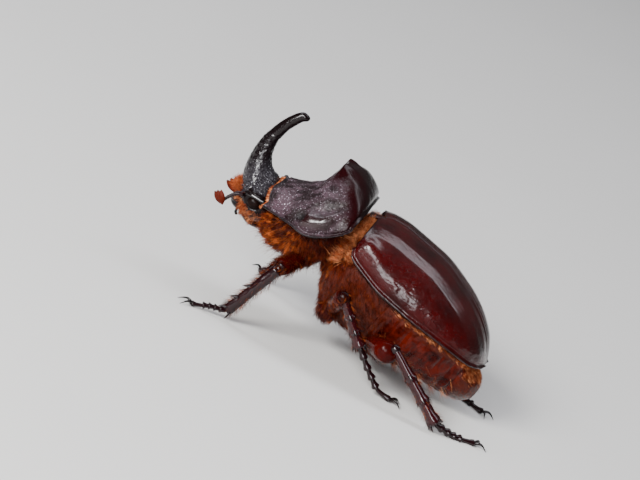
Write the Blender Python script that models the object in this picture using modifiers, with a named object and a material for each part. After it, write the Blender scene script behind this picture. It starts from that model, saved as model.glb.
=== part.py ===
"""A male European rhinoceros beetle, Oryctes nasicornis, standing still, at life size.

Lengths are millimetres in the beetle's own frame until a piece is made. A point is
(fore, left, up): fore runs towards the head from the rear edge of the pronotum on the midline,
left to the beetle's left and up towards its back. That frame is pitched head up over the floor,
with the head towards -X and the left side towards -Y."""

from math import cos, pi, radians, sin, tan

import bmesh
import bpy
import numpy as np
from mathutils import Matrix, Vector

MM = 0.001
PITCH = radians(14.0)  # head up
RIDE_HEIGHT = 18.3  # the frame's origin over the floor
GAP = 0.22  # between the pieces of a leg
ROOM = 0.16  # around a hip or an eye, in the piece that it sits in
PLATE = 0.6  # thickness of the pronotum and of the wing cases
# The powers of the superellipses that round the cross-sections: 2 is an ellipse, more is squarer.
PRONOTUM_POWER = 2.2
WING_POWER = 2.3
BODY_POWER = 2.1

PRONOTUM_LENGTH = 9.8
RIDGE_FORE = 5.3  # the transverse ridge behind the hollow of the pronotum
RIDGE_HALF_LENGTH = 3.0  # beyond this the ridge runs down and back
TUBERCLE_LEFT = 2.8
TUBERCLE_HEIGHT = 0.35
MIDDLE_TUBERCLE_HEIGHT = 0.45
SUTURE_HALF_GAP = 0.15
EYE = (10.6, 3.3, -9.3)
EYE_RADII = (0.95, 0.75, 0.85)
CLUB = (14.2, 3.8, -11.3)
CLUB_RADII = (0.98, 0.46, 0.52)
CLUB_TILT = radians(30)
ANTENNA_RADIUS = 0.26
SEGMENT_LENGTH = 1.62  # of the abdomen under the wing cases
GROOVE_HALF_WIDTH = 0.2

# For each kind of leg: the radius of the coxa, the half widths of the femur and the tibia, the
# height of the tibia's teeth and the half width of the tarsus.
LEG_SIZES = {
    "fore": {"coxa": 1.35, "femur": 1.4, "tibia": 0.85, "tooth": 0.65, "tarsus": 0.36},
    "mid": {"coxa": 1.45, "femur": 1.3, "tibia": 0.75, "tooth": 0.3, "tarsus": 0.4},
    "hind": {"coxa": 1.4, "femur": 1.45, "tibia": 0.85, "tooth": 0.35, "tarsus": 0.42},
}
# Where the joints of each leg are. The toe lies on the floor, so it has no height of its own.
LEGS = {
    "fore_l": {
        "coxa": (2.0, 3.4, -9.9),
        "knee": (3.3, 9.9, -11.3),
        "ankle": (4.6, 11.2, -19.0),
        "toe": (8.2, 12.6),
    },
    "fore_r": {
        "coxa": (2.0, -3.4, -9.9),
        "knee": (2.4, -9.6, -10.4),
        "ankle": (4.0, -9.6, -18.7),
        "toe": (4.9, -13.4),
    },
    "mid_l": {
        "coxa": (-4.2, 3.6, -13.0),
        "knee": (-4.5, 10.8, -8.5),
        "ankle": (-9.6, 10.3, -11.8),
        "toe": (-16.3, 9.2),
    },
    "mid_r": {
        "coxa": (-4.2, -3.6, -13.0),
        "knee": (-5.4, -10.8, -8.6),
        "ankle": (-8.8, -11.8, -14.8),
        "toe": (-14.2, -12.6),
    },
    "hind_l": {
        "coxa": (-9.9, 3.4, -12.9),
        "knee": (-12.5, 10.5, -9.5),
        "ankle": (-22.0, 11.5, -12.4),
        "toe": (-26.9, 8.6),
    },
    "hind_r": {
        "coxa": (-9.9, -3.4, -12.9),
        "knee": (-13.6, -9.6, -9.2),
        "ankle": (-21.4, -7.4, -12.7),
        "toe": (-26.0, -4.4),
    },
}

COLOURS = {
    "shell": ((0.055, 0.012, 0.014), 0.25),
    "pronotum": ((0.035, 0.014, 0.016), 0.35),
    "horn": ((0.010, 0.009, 0.010), 0.3),
    "leg": ((0.045, 0.010, 0.009), 0.3),
    "underside": ((0.20, 0.055, 0.015), 0.7),
    "eye": ((0.006, 0.005, 0.005), 0.12),
    "club": ((0.19, 0.035, 0.012), 0.4),
}


def spline(*knots):
    """A smooth curve through (key, value) knots that doesn't overshoot them. Values are numbers or
    tuples, and the curve takes one key or an array of them."""
    keys = np.array([key for key, _ in knots], float)
    values = np.array([np.atleast_1d(value) for _, value in knots], float)
    slopes = np.diff(values, axis=0) / np.diff(keys)[:, None]
    before, after = slopes[:-1], slopes[1:]
    same_way = before * after > 0
    mean = 2 * before * after / np.where(same_way, before + after, 1)
    tangents = np.vstack([slopes[:1], np.where(same_way, mean, 0), slopes[-1:]])

    def at(key):
        key = np.clip(np.asarray(key, float), keys[0], keys[-1])
        i = np.clip(np.searchsorted(keys, key, "right") - 1, 0, len(keys) - 2)
        step = (keys[i + 1] - keys[i])[..., None]
        x = ((key - keys[i])[..., None]) / step
        first = (1 + 2 * x) * (1 - x) ** 2 * values[i] + x * (1 - x) ** 2 * step * tangents[i]
        second = x * x * (3 - 2 * x) * values[i + 1] + x * x * (x - 1) * step * tangents[i + 1]
        found = first + second
        return found[..., 0] if values.shape[1] == 1 else found

    return at


def smooth_step(x):
    x = np.clip(x, 0, 1)
    return x * x * (3 - 2 * x)


def bump(x, width):
    return np.exp(-((x / width) ** 2))


def floor_at(fore):
    """The floor's up in the beetle's frame."""
    return -RIDE_HEIGHT / cos(PITCH) - fore * tan(PITCH)


# The pronotum's side edge from its hind corner to its front corner, keyed by the length along the
# midline, and the midline behind and in front of the ridge.
pronotum_edge = spline(
    (0.0, (-0.1, 8.2, -2.8)),
    (0.14, (0.5, 8.6, -3.9)),
    (0.30, (2.1, 8.75, -5.65)),
    (0.45, (3.8, 8.5, -6.8)),
    (0.63, (5.7, 7.6, -7.2)),
    (1.0, (9.6, 4.6, -8.55)),
)
pronotum_dome = spline((0.0, -1.0), (1.7, 0.5), (3.4, 1.1), (5.4, 1.15), (7.3, -0.2), (9.8, -5.3))
pronotum_hollow = spline(
    (0.0, -1.1), (3.0, 0.45), (4.5, 0.1), (5.4, -1.2), (6.0, -2.6), (7.3, -4.1), (9.8, -5.45)
)


def pronotum_point(along, across):
    """A point of the pronotum: along runs 0 to 1 from its rear edge to its front edge, and across
    runs -1 to 1 from its right edge over the back to its left edge."""
    edge = pronotum_edge(along)
    mid_fore = PRONOTUM_LENGTH * along
    angle = abs(across) * pi / 2
    left = edge[..., 1] * np.sin(angle) ** (2 / PRONOTUM_POWER)
    height = np.cos(angle) ** (2 / PRONOTUM_POWER)
    fore = mid_fore + (edge[..., 0] - mid_fore) * across**2
    beyond = np.maximum(left - RIDGE_HALF_LENGTH, 0)
    ridge = RIDGE_FORE - 1.05 * beyond
    in_hollow = smooth_step((fore - ridge) / (0.45 + 0.25 * beyond))
    dome = pronotum_dome(mid_fore)
    top = dome + (pronotum_hollow(mid_fore) - dome) * in_hollow
    up = edge[..., 2] + (top - edge[..., 2]) * height
    side_tubercle = TUBERCLE_HEIGHT * bump(left - TUBERCLE_LEFT, 0.9)
    middle_tubercle = MIDDLE_TUBERCLE_HEIGHT * bump(left, 0.8)
    up = up + bump(fore - RIDGE_FORE, 0.6) * (side_tubercle + middle_tubercle)
    return np.stack([fore, np.sign(across) * left, up], -1)


# The suture (fore, up) and the outer edge of a wing case, keyed from its base to its tip.
suture = spline(
    (0.0, (-1.5, -0.95)),
    (0.08, (-2.8, -0.4)),
    (0.22, (-5.4, 0.05)),
    (0.42, (-9.8, 0.1)),
    (0.64, (-14.9, -0.85)),
    (0.75, (-17.4, -1.75)),
    (0.87, (-20.1, -3.4)),
    (0.95, (-21.5, -4.95)),
    (1.0, (-22.2, -6.05)),
)
wing_edge = spline(
    (0.0, (-1.6, 7.6, -4.4)),
    (0.03, (-2.2, 8.2, -5.1)),
    (0.12, (-4.0, 8.6, -5.5)),
    (0.27, (-7.6, 8.8, -6.0)),
    (0.42, (-10.8, 8.8, -6.0)),
    (0.62, (-15.0, 8.3, -5.85)),
    (0.76, (-18.0, 7.2, -5.95)),
    (0.89, (-20.8, 4.9, -6.3)),
    (0.96, (-21.9, 2.9, -6.3)),
    (1.0, (-22.3, 1.1, -6.15)),
)


def wing_point(along, across, side):
    """A point of a wing case: along runs 0 to 1 from base to tip, across 0 to 1 from the suture
    to the outer edge, and side is 1 on the left and -1 on the right."""
    top, edge = suture(along), wing_edge(along)
    angle = across * pi / 2
    power = 2 / WING_POWER
    left = SUTURE_HALF_GAP + (edge[..., 1] - SUTURE_HALF_GAP) * np.sin(angle) ** power
    fore = top[..., 0] + (edge[..., 0] - top[..., 0]) * across**1.5
    up = edge[..., 2] + (top[..., 1] - edge[..., 2]) * np.cos(angle) ** power
    notch = np.maximum(1 - left / 1.7, 0) * np.maximum(1 - along / 0.08, 0)
    fore = fore - 1.0 * notch  # room for the scutellum
    shoulder = bump(along - 0.1, 0.06) * bump(across - 0.72, 0.13)
    left, up = left + 0.12 * shoulder, up + 0.3 * shoulder
    return np.stack([fore, side * left, up], -1)


def grid_of(point, rows, columns, *args):
    """The points point(row, column, *args) as rows of points."""
    along, across = np.meshgrid(rows, columns, indexing="ij")
    return point(along, across, *args)


def body_ring(row, count):
    """A closed cross-section: row is (fore, half width, top, waist, bottom)."""
    fore, half_width, top, waist, bottom = row
    angle = np.arange(count) / count * 2 * pi
    c, s = np.cos(angle), np.sin(angle)
    power = 2 / BODY_POWER
    left = half_width * np.sign(c) * abs(c) ** power
    rise = np.where(s > 0, top - waist, waist - bottom)
    up = waist + rise * np.sign(s) * abs(s) ** power
    return np.stack([np.full(count, fore), left, up], -1)


def body_rings(shape, stations, count):
    """Rings of a body part, whose shape is a spline keyed by fore to (half width, top, waist,
    bottom)."""
    return np.array([body_ring((fore, *shape(fore)), count) for fore in stations])


def limb_rings(start, end, outward, stations, count):
    """Rings of a straight limb. Each station is (share of the length, half width on the outward
    side, half width on the other side, half thickness)."""
    start, end, outward = (np.array(p, float) for p in (start, end, outward))
    axis = (end - start) / np.linalg.norm(end - start)
    outward = outward - axis * outward.dot(axis)
    outward /= np.linalg.norm(outward)
    flat = np.cross(axis, outward)
    angle = np.arange(count) / count * 2 * pi
    c, s = np.cos(angle)[:, None], np.sin(angle)[:, None]
    rings = []
    for share, out, inner, thick in stations:
        reach = np.where(c > 0, out, inner)
        rings.append(start + (end - start) * share + outward * c * reach + flat * s * thick)
    return np.array(rings)


def path_rings(path, radii, sideways, count):
    """Rings of a bent round limb along path, each wider by sideways than it is high."""
    path = np.array(path, float)
    ways = np.gradient(path, axis=0)
    ways /= np.linalg.norm(ways, axis=1)[:, None]
    angle = np.arange(count) / count * 2 * pi
    rings = []
    for centre, way, radius in zip(path, ways, radii):
        level = np.cross(way, (0, 0, 1))
        level /= np.linalg.norm(level)
        upright = np.cross(level, way)
        across = np.cos(angle)[:, None] * level * sideways + np.sin(angle)[:, None] * upright
        rings.append(centre + across * radius)
    return np.array(rings)


def on_floor(rings):
    """The rings with what would be under the floor laid flat on it."""
    rings = rings.copy()
    rings[..., 2] = np.maximum(rings[..., 2], floor_at(rings[..., 0]))
    return rings


class Model:
    """The scene's collections, the frame that carries the beetle, and the materials."""

    def __init__(self):
        for ob in list(bpy.data.objects):
            bpy.data.objects.remove(ob)
        self.parts = self.collection("rhinoceros_beetle")
        self.cutters = self.collection("cutters")
        self.frame = bpy.data.objects.new("beetle_frame", None)
        self.frame.rotation_euler = (0, PITCH, 0)
        self.parts.objects.link(self.frame)

    def collection(self, name):
        made = bpy.data.collections.new(name)
        bpy.context.scene.collection.children.link(made)
        return made

    def material(self, name, kind):
        colour, roughness = COLOURS[kind]
        made = bpy.data.materials.new(name)
        made.use_nodes = True
        shader = made.node_tree.nodes["Principled BSDF"]
        shader.inputs["Base Color"].default_value = (*colour, 1)
        shader.inputs["Roughness"].default_value = roughness
        shader.inputs["Metallic"].default_value = 0
        return made

    def add(self, name, bm, kind):
        """Makes an object of a mesh in the beetle's frame. With no kind it is a cutter."""
        bmesh.ops.transform(bm, matrix=Matrix.Diagonal((-MM, -MM, MM, 1)), verts=bm.verts)
        mesh = bpy.data.meshes.new(name)
        bm.to_mesh(mesh)
        bm.free()
        mesh.shade_smooth()
        ob = bpy.data.objects.new(name, mesh)
        ob.parent = self.frame
        if kind:
            self.parts.objects.link(ob)
            mesh.materials.append(self.material(name, kind))
        else:
            self.cutters.objects.link(ob)
            ob.hide_render = True
            ob.display_type = "WIRE"
        return ob

    def loft(self, name, rings, kind):
        """A closed body through rings of equally many points, capped at both ends."""
        bm = bmesh.new()
        verts = [[bm.verts.new(p) for p in ring] for ring in rings]
        count = len(rings[0])
        for a, b in zip(verts, verts[1:]):
            for k in range(count):
                n = (k + 1) % count
                bm.faces.new((a[k], a[n], b[n], b[k]))
        bm.faces.new(verts[0])
        bm.faces.new(verts[-1])
        bmesh.ops.recalc_face_normals(bm, faces=bm.faces)
        return self.add(name, bm, kind)

    def plate(self, name, grid, kind, flip):
        """A shell of even thickness under a grid of points, with its edges closed."""
        bm = bmesh.new()
        verts = [[bm.verts.new(p) for p in row] for row in grid]
        for a, b in zip(verts, verts[1:]):
            for k in range(len(a) - 1):
                face = (a[k], a[k + 1], b[k + 1], b[k])
                bm.faces.new(face[::-1] if flip else face)
        ob = self.add(name, bm, kind)
        solidify = ob.modifiers.new("thickness", "SOLIDIFY")
        solidify.thickness = PLATE * MM
        solidify.offset = -1
        solidify.use_even_offset = True
        return ob

    def ball(self, name, centre, radii, kind, turn=0.0, grow=0.0):
        """An ellipsoid with its first axis turned up from fore."""
        bm = bmesh.new()
        bmesh.ops.create_uvsphere(bm, u_segments=10, v_segments=6, radius=1)
        size = Matrix.Diagonal((*(r + grow for r in radii), 1))
        placed = Matrix.Translation(centre) @ Matrix.Rotation(-turn, 4, "Y") @ size
        bmesh.ops.transform(bm, matrix=placed, verts=bm.verts)
        return self.add(name, bm, kind)

    def tube(self, name, points, radius, kind):
        """A round tube along points, as a curve with filled caps."""
        curve = bpy.data.curves.new(name, "CURVE")
        curve.dimensions = "3D"
        curve.bevel_depth = radius * MM
        curve.bevel_resolution = 1
        curve.use_fill_caps = True
        line = curve.splines.new("POLY")
        line.points.add(len(points) - 1)
        for at, (fore, left, up) in zip(line.points, points):
            at.co = (-fore * MM, -left * MM, up * MM, 1)
        ob = bpy.data.objects.new(name, curve)
        ob.parent = self.frame
        self.parts.objects.link(ob)
        curve.materials.append(self.material(name, kind))
        return ob

    def cut(self, ob, cutter):
        boolean = ob.modifiers.new(cutter.name, "BOOLEAN")
        boolean.operation = "DIFFERENCE"
        boolean.solver = "EXACT"
        boolean.object = cutter


def add_pronotum(model):
    rows = np.array([0, 0.11, 0.23, 0.34, 0.43, 0.5, 0.535, 0.565, 0.6, 0.69, 0.79, 0.9, 1])
    columns = np.linspace(-1, 1, 21)
    model.plate("pronotum", grid_of(pronotum_point, rows, columns), "pronotum", flip=True)


def add_wing_cases(model):
    rows = np.array([0, 0.04, 0.1, 0.18, 0.28, 0.4, 0.52, 0.63, 0.73, 0.81, 0.88, 0.94, 0.98, 1])
    columns = np.linspace(0, 1, 11)
    for side, name in ((1, "elytron_l"), (-1, "elytron_r")):
        grid = grid_of(wing_point, rows, columns, side)
        model.plate(name, grid, "shell", flip=side < 0)


def add_scutellum(model):
    """The small triangular plate between the bases of the wing cases."""
    shape = spline((-2.2, (0.12, -0.75)), (-1.4, (0.6, -0.95)), (-0.5, (1.1, -1.3)))
    rings = []
    for fore in np.linspace(-2.2, -0.5, 5):
        half_width, top = shape(fore)
        rings.append(body_ring((fore, half_width, top, top - 0.2, top - 0.5), 10))
    model.loft("scutellum", np.array(rings), "shell")


prothorax_shape = spline(
    (0.3, (6.4, -2.9, -4.7, -9.9)),
    (1.4, (7.2, -1.5, -5.3, -11.0)),
    (3.0, (7.3, -0.9, -6.3, -12.0)),
    (4.6, (6.9, -2.4, -6.8, -12.5)),
    (6.2, (6.1, -4.7, -7.4, -12.7)),
    (7.4, (5.2, -5.7, -7.9, -12.4)),
    (8.3, (4.2, -6.4, -8.4, -11.7)),
)
pterothorax_shape = spline(
    (-9.4, (7.85, -1.1, -6.3, -14.2)),
    (-6.2, (7.85, -1.1, -6.3, -14.6)),
    (-3.2, (7.55, -1.5, -6.1, -14.5)),
    (-1.6, (6.5, -2.2, -5.8, -12.8)),
    (-0.5, (5.2, -2.8, -5.4, -10.6)),
)
abdomen_shape = spline(
    (-19.4, (5.1, -4.5, -6.7, -12.7)),
    (-16.5, (6.8, -2.85, -6.3, -13.2)),
    (-13.0, (7.6, -1.7, -6.3, -13.8)),
    (-9.7, (7.85, -1.15, -6.3, -14.2)),
)
tail_shape = spline(
    (-23.65, (0.8, -8.9, -9.5, -10.2)),
    (-23.4, (1.9, -8.2, -9.4, -11.0)),
    (-22.6, (3.3, -7.4, -9.1, -11.8)),
    (-21.2, (4.2, -6.6, -8.3, -12.35)),
    (-19.7, (4.9, -4.9, -7.0, -12.65)),
)
head_shape = spline(
    (8.7, (3.1, -6.9, -8.9, -11.5)),
    (9.7, (3.5, -6.6, -9.0, -12.0)),
    (10.6, (3.85, -6.5, -9.0, -11.7)),
    (11.4, (3.6, -6.8, -9.2, -10.95)),
    (12.3, (2.9, -8.15, -9.5, -10.5)),
    (13.1, (2.0, -9.2, -9.65, -10.1)),
    (13.5, (1.4, -9.4, -9.65, -9.9)),
)


def add_underside(model):
    """The furred body under the plates, as deep as its coat, parted behind the prothorax and in
    front of the hind body."""
    around = 16
    prothorax = body_rings(prothorax_shape, np.linspace(0.3, 8.3, 7), around)
    pterothorax = body_rings(pterothorax_shape, np.linspace(-9.4, -0.5, 7), around)
    stations = [-19.4]
    groove = -19.4 + SEGMENT_LENGTH
    while groove < -10:
        stations += [groove - GROOVE_HALF_WIDTH, groove, groove + GROOVE_HALF_WIDTH]
        groove += SEGMENT_LENGTH
    stations.append(-9.7)
    abdomen = body_rings(abdomen_shape, stations, around)
    below = abdomen[..., 2] < -7
    for i in range(2, len(stations) - 1, 3):
        abdomen[i, below[i], 2] += 0.16
        abdomen[i, below[i], 1] *= 0.98
    tail = body_rings(tail_shape, (-23.65, -23.35, -22.7, -21.8, -20.8, -19.7), around)
    return {
        "prothorax": model.loft("prothorax", prothorax, "underside"),
        "pterothorax": model.loft("pterothorax", pterothorax, "underside"),
        "abdomen": model.loft("abdomen", abdomen, "underside"),
        "tail_segment": model.loft("tail_segment", tail, "underside"),
    }


# The horn's front and rear outlines in the midplane, its half width and how much its sides dip.
horn_front = spline(
    (0.0, (13.45, -8.95)),
    (0.15, (14.1, -7.8)),
    (0.33, (14.7, -5.6)),
    (0.5, (14.9, -3.5)),
    (0.68, (14.6, -1.3)),
    (0.84, (13.9, 0.9)),
    (0.94, (13.1, 2.0)),
    (1.0, (12.35, 2.2)),
)
horn_rear = spline(
    (0.0, (11.0, -5.95)),
    (0.15, (12.2, -5.2)),
    (0.33, (13.05, -4.0)),
    (0.5, (13.4, -2.5)),
    (0.68, (13.3, -0.9)),
    (0.84, (12.9, 0.5)),
    (0.94, (12.45, 1.45)),
    (1.0, (12.25, 1.95)),
)
horn_half_width = spline((0.0, 2.5), (0.15, 1.8), (0.4, 1.1), (0.7, 0.75), (0.92, 0.5), (1.0, 0.25))


def horn_ring(along, count):
    front, rear = horn_front(along), horn_rear(along)
    middle, reach = (front + rear) / 2, (front - rear) / 2
    angle = np.arange(count) / count * 2 * pi
    c, s = np.cos(angle), np.sin(angle)
    dip = 0.6 * s * s * max(0.0, 1 - along / 0.15)
    fore = middle[0] + reach[0] * c
    up = middle[1] + reach[1] * c - dip
    return np.stack([fore, horn_half_width(along) * s, up], -1)


def add_head(model):
    head = model.loft("head", body_rings(head_shape, np.linspace(8.7, 13.5, 8), 20), "horn")
    horn = [horn_ring(along, 12) for along in np.linspace(0, 1, 12)]
    model.loft("horn", np.array(horn), "horn")
    model.ball("mouthparts", (12.15, 0, -11.7), (1.2, 1.5, 0.55), "leg")
    for side, end in ((1, "l"), (-1, "r")):
        eye = (EYE[0], side * EYE[1], EYE[2])
        model.ball(f"eye_{end}", eye, EYE_RADII, "eye")
        socket = model.ball(f"socket_{end}", eye, EYE_RADII, None, grow=ROOM)
        model.cut(head, socket)
        stalk = ((12.4, 3.35), (12.85, 3.45), (13.1, 3.6), (13.25, 3.7))
        heights = (-9.4, -9.8, -10.35, -10.7)
        points = [(fore, side * left, up) for (fore, left), up in zip(stalk, heights)]
        model.tube(f"antenna_{end}", points, ANTENNA_RADIUS, "leg")
        club = (CLUB[0], side * CLUB[1], CLUB[2])
        model.ball(f"antenna_club_{end}", club, CLUB_RADII, "club", turn=CLUB_TILT)


# (Share of the length, half width forwards, half width backwards, half thickness), in units of
# the femur's half width.
FEMUR_STATIONS = (
    (0.0, 0.5, 0.5, 0.45),
    (0.12, 0.8, 0.8, 0.6),
    (0.4, 1.0, 1.0, 0.75),
    (0.7, 0.95, 0.95, 0.7),
    (0.9, 0.8, 0.8, 0.62),
    (1.0, 0.5, 0.5, 0.4),
)


def tibia_stations(kind, half_width, tooth):
    """The tibia widens from knee to ankle. On the fore leg it is flat with three outer teeth, on
    the others it has two ridges of teeth and a flared end."""
    if kind == "fore":
        teeth, base, end = (0.5, 0.74, 0.985), 0.62, 1.0
    else:
        teeth, base, end = (0.38, 0.68, 0.97), 0.55, 1.25
    stations = [(0.0, base, base, base), (0.1, base * 1.1, base * 1.1, base * 1.05)]
    for at in teeth:
        here = base + (end - base) * at
        low = base + (end - base) * (at - 0.13)
        thick = here * (0.62 if kind == "fore" else 0.9)
        stations.append((at - 0.13, low, low, thick))
        stations.append((at - 0.015, here + tooth / half_width, here, thick))
        if at < 0.9:
            stations.append((at + 0.05, here, here, thick))
    stations.append((1.0, end * 0.9, end * 0.9, thick * 0.9))
    return [(at, *(half_width * w for w in widths)) for at, *widths in stations]


def tarsus_path(ankle, toe):
    """From the ankle down to the floor, along it, and on to the toe."""
    radius = 0.3
    end = np.array((*toe, floor_at(toe[0]) + radius))
    start = np.array(ankle, float)
    landing = start + (end - start) * 0.5
    landing[2] = 0.45 * start[2] + 0.55 * (floor_at(landing[0]) + radius)
    near_end = start + (end - start) * 0.78
    near_end[2] = 0.12 * start[2] + 0.88 * (floor_at(near_end[0]) + radius)
    return spline((0.0, start), (0.5, landing), (0.78, near_end), (1.0, end))


def add_tarsus(model, name, path, half_width):
    """Five joints in a row, each widening to its end."""
    ends = (0.0, 0.2, 0.37, 0.53, 0.68, 1.0)
    stations, radii = [], []
    for k, (a, b) in enumerate(zip(ends, ends[1:])):
        stations += [a + 0.02, a + 0.6 * (b - a), b - 0.02]
        radii += [0.66, 0.85, 0.95 if k < 4 else 1.0]
    radii = [half_width * r for r in radii]
    rings = path_rings(path(np.array(stations)), radii, 1.15, 6)
    model.loft(name, on_floor(rings), "leg")


def add_claws(model, name, path):
    """Both claws of a foot as one forked piece."""
    toe = path(1.0)
    way = toe - path(0.9)
    way[2] = -tan(PITCH) * way[0]
    way /= np.linalg.norm(way)
    level = np.cross(way, (0, 0, 1))
    root = toe + way * (GAP + 0.2)
    points, radii = [], []
    for k in np.linspace(-1, 1, 7):
        spread, ahead = 0.95 * k, 1.15 * abs(k) ** 1.4
        point = root + level * spread + way * ahead
        point[2] = floor_at(point[0]) + 0.3 + 0.22 * (1 - abs(2 * abs(k) - 1)) - 0.08 * abs(k)
        points.append(point)
        radii.append(0.3 - 0.16 * abs(k))
    model.loft(name, on_floor(path_rings(points, radii, 1.0, 6)), "horn")


def add_leg(model, name, bodies):
    kind, end = name.split("_")
    side = 1 if end == "l" else -1
    joints, sizes = LEGS[name], LEG_SIZES[kind]
    coxa, knee, ankle = (np.array(joints[j], float) for j in ("coxa", "knee", "ankle"))
    femur_way = (knee - coxa) / np.linalg.norm(knee - coxa)
    hip = coxa + femur_way * (sizes["coxa"] + GAP)
    radii = (sizes["coxa"],) * 3
    model.ball(f"coxa_{name}", coxa, radii, "leg")
    bulk = sizes["femur"]
    along_body = (1, 0, 0)
    stations = [(at, *(bulk * w for w in widths)) for at, *widths in FEMUR_STATIONS]
    knee_reach = 0.5 * bulk
    femur_end = knee - femur_way * (knee_reach - 0.25)
    model.loft(f"femur_{name}", limb_rings(hip, femur_end, along_body, stations, 10), "leg")
    shank_way = (ankle - knee) / np.linalg.norm(ankle - knee)
    bend = max(0.0, femur_way.dot(shank_way))
    shank_start = knee + shank_way * (knee_reach + GAP * (1.5 - bend))
    outer = np.array((0, side, 0.3)) if kind != "fore" else np.array((1, side * 0.5, 0))
    stations = tibia_stations(kind, sizes["tibia"], sizes["tooth"])
    model.loft(f"tibia_{name}", limb_rings(shank_start, ankle, outer, stations, 8), "leg")
    foot_way = np.array((*joints["toe"], floor_at(joints["toe"][0]))) - ankle
    foot_way /= np.linalg.norm(foot_way)
    foot = tarsus_path(ankle + (shank_way + foot_way) * (GAP - 0.02), joints["toe"])
    add_tarsus(model, f"tarsus_{name}", foot, sizes["tarsus"])
    add_claws(model, f"claws_{name}", foot)

    wider = [
        (at * 1.04 - 0.02, *(bulk * w + ROOM for w in widths)) for at, *widths in FEMUR_STATIONS
    ]
    hip_room = limb_rings(hip, femur_end, along_body, wider, 8)
    cutters = (
        model.ball(f"room_coxa_{name}", coxa, radii, None, grow=ROOM),
        model.loft(f"room_femur_{name}", hip_room, None),
    )
    for body in bodies:
        for cutter in cutters:
            model.cut(body, cutter)


def stand_on_origin(model):
    """Moves the frame so that the beetle stands at z = 0 with its box centred over the origin."""
    bpy.context.view_layer.update()
    depsgraph = bpy.context.evaluated_depsgraph_get()
    corners = []
    for ob in model.parts.objects:
        if ob.type != "EMPTY":
            shown = ob.evaluated_get(depsgraph)
            mesh = shown.to_mesh()
            corners += [shown.matrix_world @ v.co for v in mesh.vertices]
            shown.to_mesh_clear()
    spots = np.array(corners)
    low, high = spots.min(0), spots.max(0)
    model.frame.location = Vector((-(low[0] + high[0]) / 2, -(low[1] + high[1]) / 2, -low[2]))


def main():
    model = Model()
    add_pronotum(model)
    add_wing_cases(model)
    add_scutellum(model)
    body = add_underside(model)
    add_head(model)
    carried_by = {
        "fore": [body["prothorax"]],
        "mid": [body["pterothorax"]],
        "hind": [body["pterothorax"], body["abdomen"]],
    }
    for name in LEGS:
        add_leg(model, name, carried_by[name.split("_")[0]])
    stand_on_origin(model)


main()
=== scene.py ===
"""The looks of a male European rhinoceros beetle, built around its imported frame.

Points are millimetres (fore, left, up) in the beetle's own frame until a mesh is made: fore runs
towards the head from the rear edge of the pronotum, left to the beetle's left and up towards its
back. The frame is pitched head up, with the head towards -X and the left side towards -Y."""

from math import cos, pi, radians, sin, tan

import bmesh
import bpy
import numpy as np
from mathutils import Matrix, Vector, noise


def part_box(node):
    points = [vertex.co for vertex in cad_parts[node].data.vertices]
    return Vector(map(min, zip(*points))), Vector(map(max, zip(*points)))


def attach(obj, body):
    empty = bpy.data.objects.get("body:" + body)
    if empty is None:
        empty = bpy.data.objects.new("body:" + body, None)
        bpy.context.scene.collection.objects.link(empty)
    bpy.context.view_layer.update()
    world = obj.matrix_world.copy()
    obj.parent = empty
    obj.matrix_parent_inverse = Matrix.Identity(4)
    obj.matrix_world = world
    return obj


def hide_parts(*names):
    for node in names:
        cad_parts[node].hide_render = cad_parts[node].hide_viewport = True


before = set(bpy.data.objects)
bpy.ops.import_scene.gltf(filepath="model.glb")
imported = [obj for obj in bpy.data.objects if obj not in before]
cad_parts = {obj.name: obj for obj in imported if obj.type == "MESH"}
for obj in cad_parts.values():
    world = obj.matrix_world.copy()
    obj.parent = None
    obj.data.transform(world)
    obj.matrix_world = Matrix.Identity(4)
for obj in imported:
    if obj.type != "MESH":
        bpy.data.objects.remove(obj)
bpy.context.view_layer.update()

MM = 0.001
PITCH = radians(14.0)
RIDE_HEIGHT = 18.3  # of the beetle's own origin over the floor
PLATE = 0.6  # thickness of the pronotum and of the wing cases
COAT = 0.75  # depth of the hair over the skin
BODY = "root"
SIDES = ((1, "l"), (-1, "r"))

PRONOTUM_POWER = 2.2
WING_POWER = 2.3
BODY_POWER = 2.1
PRONOTUM_LENGTH = 9.8
RIDGE_FORE = 5.3
RIDGE_HALF_LENGTH = 2.3
TUBERCLE_LEFT = 1.7
SUTURE_HALF_GAP = 0.08
EYE = np.array((10.6, 3.3, -9.3))
EYE_RADII = np.array((0.95, 0.75, 0.85))
CLUB_TILT = radians(30)
TARSUS_LIFT = 0.3  # of the middle of the foot over the floor
FLOOR_GAP = 0.004

LEG_SIZES = {
    "fore": {"coxa": 1.35, "femur": 1.4, "lean": 0.74, "tibia": 0.85, "tooth": 0.95, "tarsus": 0.38},
    "mid": {"coxa": 1.45, "femur": 1.3, "lean": 0.8, "tibia": 0.75, "tooth": 0.55, "tarsus": 0.44},
    "hind": {"coxa": 1.3, "femur": 1.6, "lean": 0.93, "tibia": 0.8, "tooth": 0.6, "tarsus": 0.46},
}
# Each leg's coxa, knee and ankle, and the fore and left of its toe on the floor.
LEGS = {
    "fore_l": ((2.0, 3.4, -9.9), (3.3, 9.9, -11.3), (4.6, 11.2, -19.0), (8.2, 12.6)),
    "fore_r": ((2.0, -3.4, -9.9), (2.4, -9.6, -10.4), (4.0, -9.6, -18.7), (4.9, -13.4)),
    "mid_l": ((-4.2, 3.6, -13.0), (-4.5, 10.8, -8.5), (-9.6, 10.3, -11.8), (-16.3, 9.2)),
    "mid_r": ((-4.2, -3.6, -13.0), (-5.4, -10.8, -8.6), (-8.8, -11.8, -14.8), (-14.2, -12.6)),
    "hind_l": ((-9.9, 3.4, -12.9), (-12.5, 10.5, -9.5), (-22.0, 11.5, -12.4), (-26.9, 8.6)),
    "hind_r": ((-9.9, -3.4, -12.9), (-13.6, -9.6, -9.2), (-21.4, -7.4, -12.7), (-26.0, -4.4)),
}


# ---- Numbers and points ----


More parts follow.
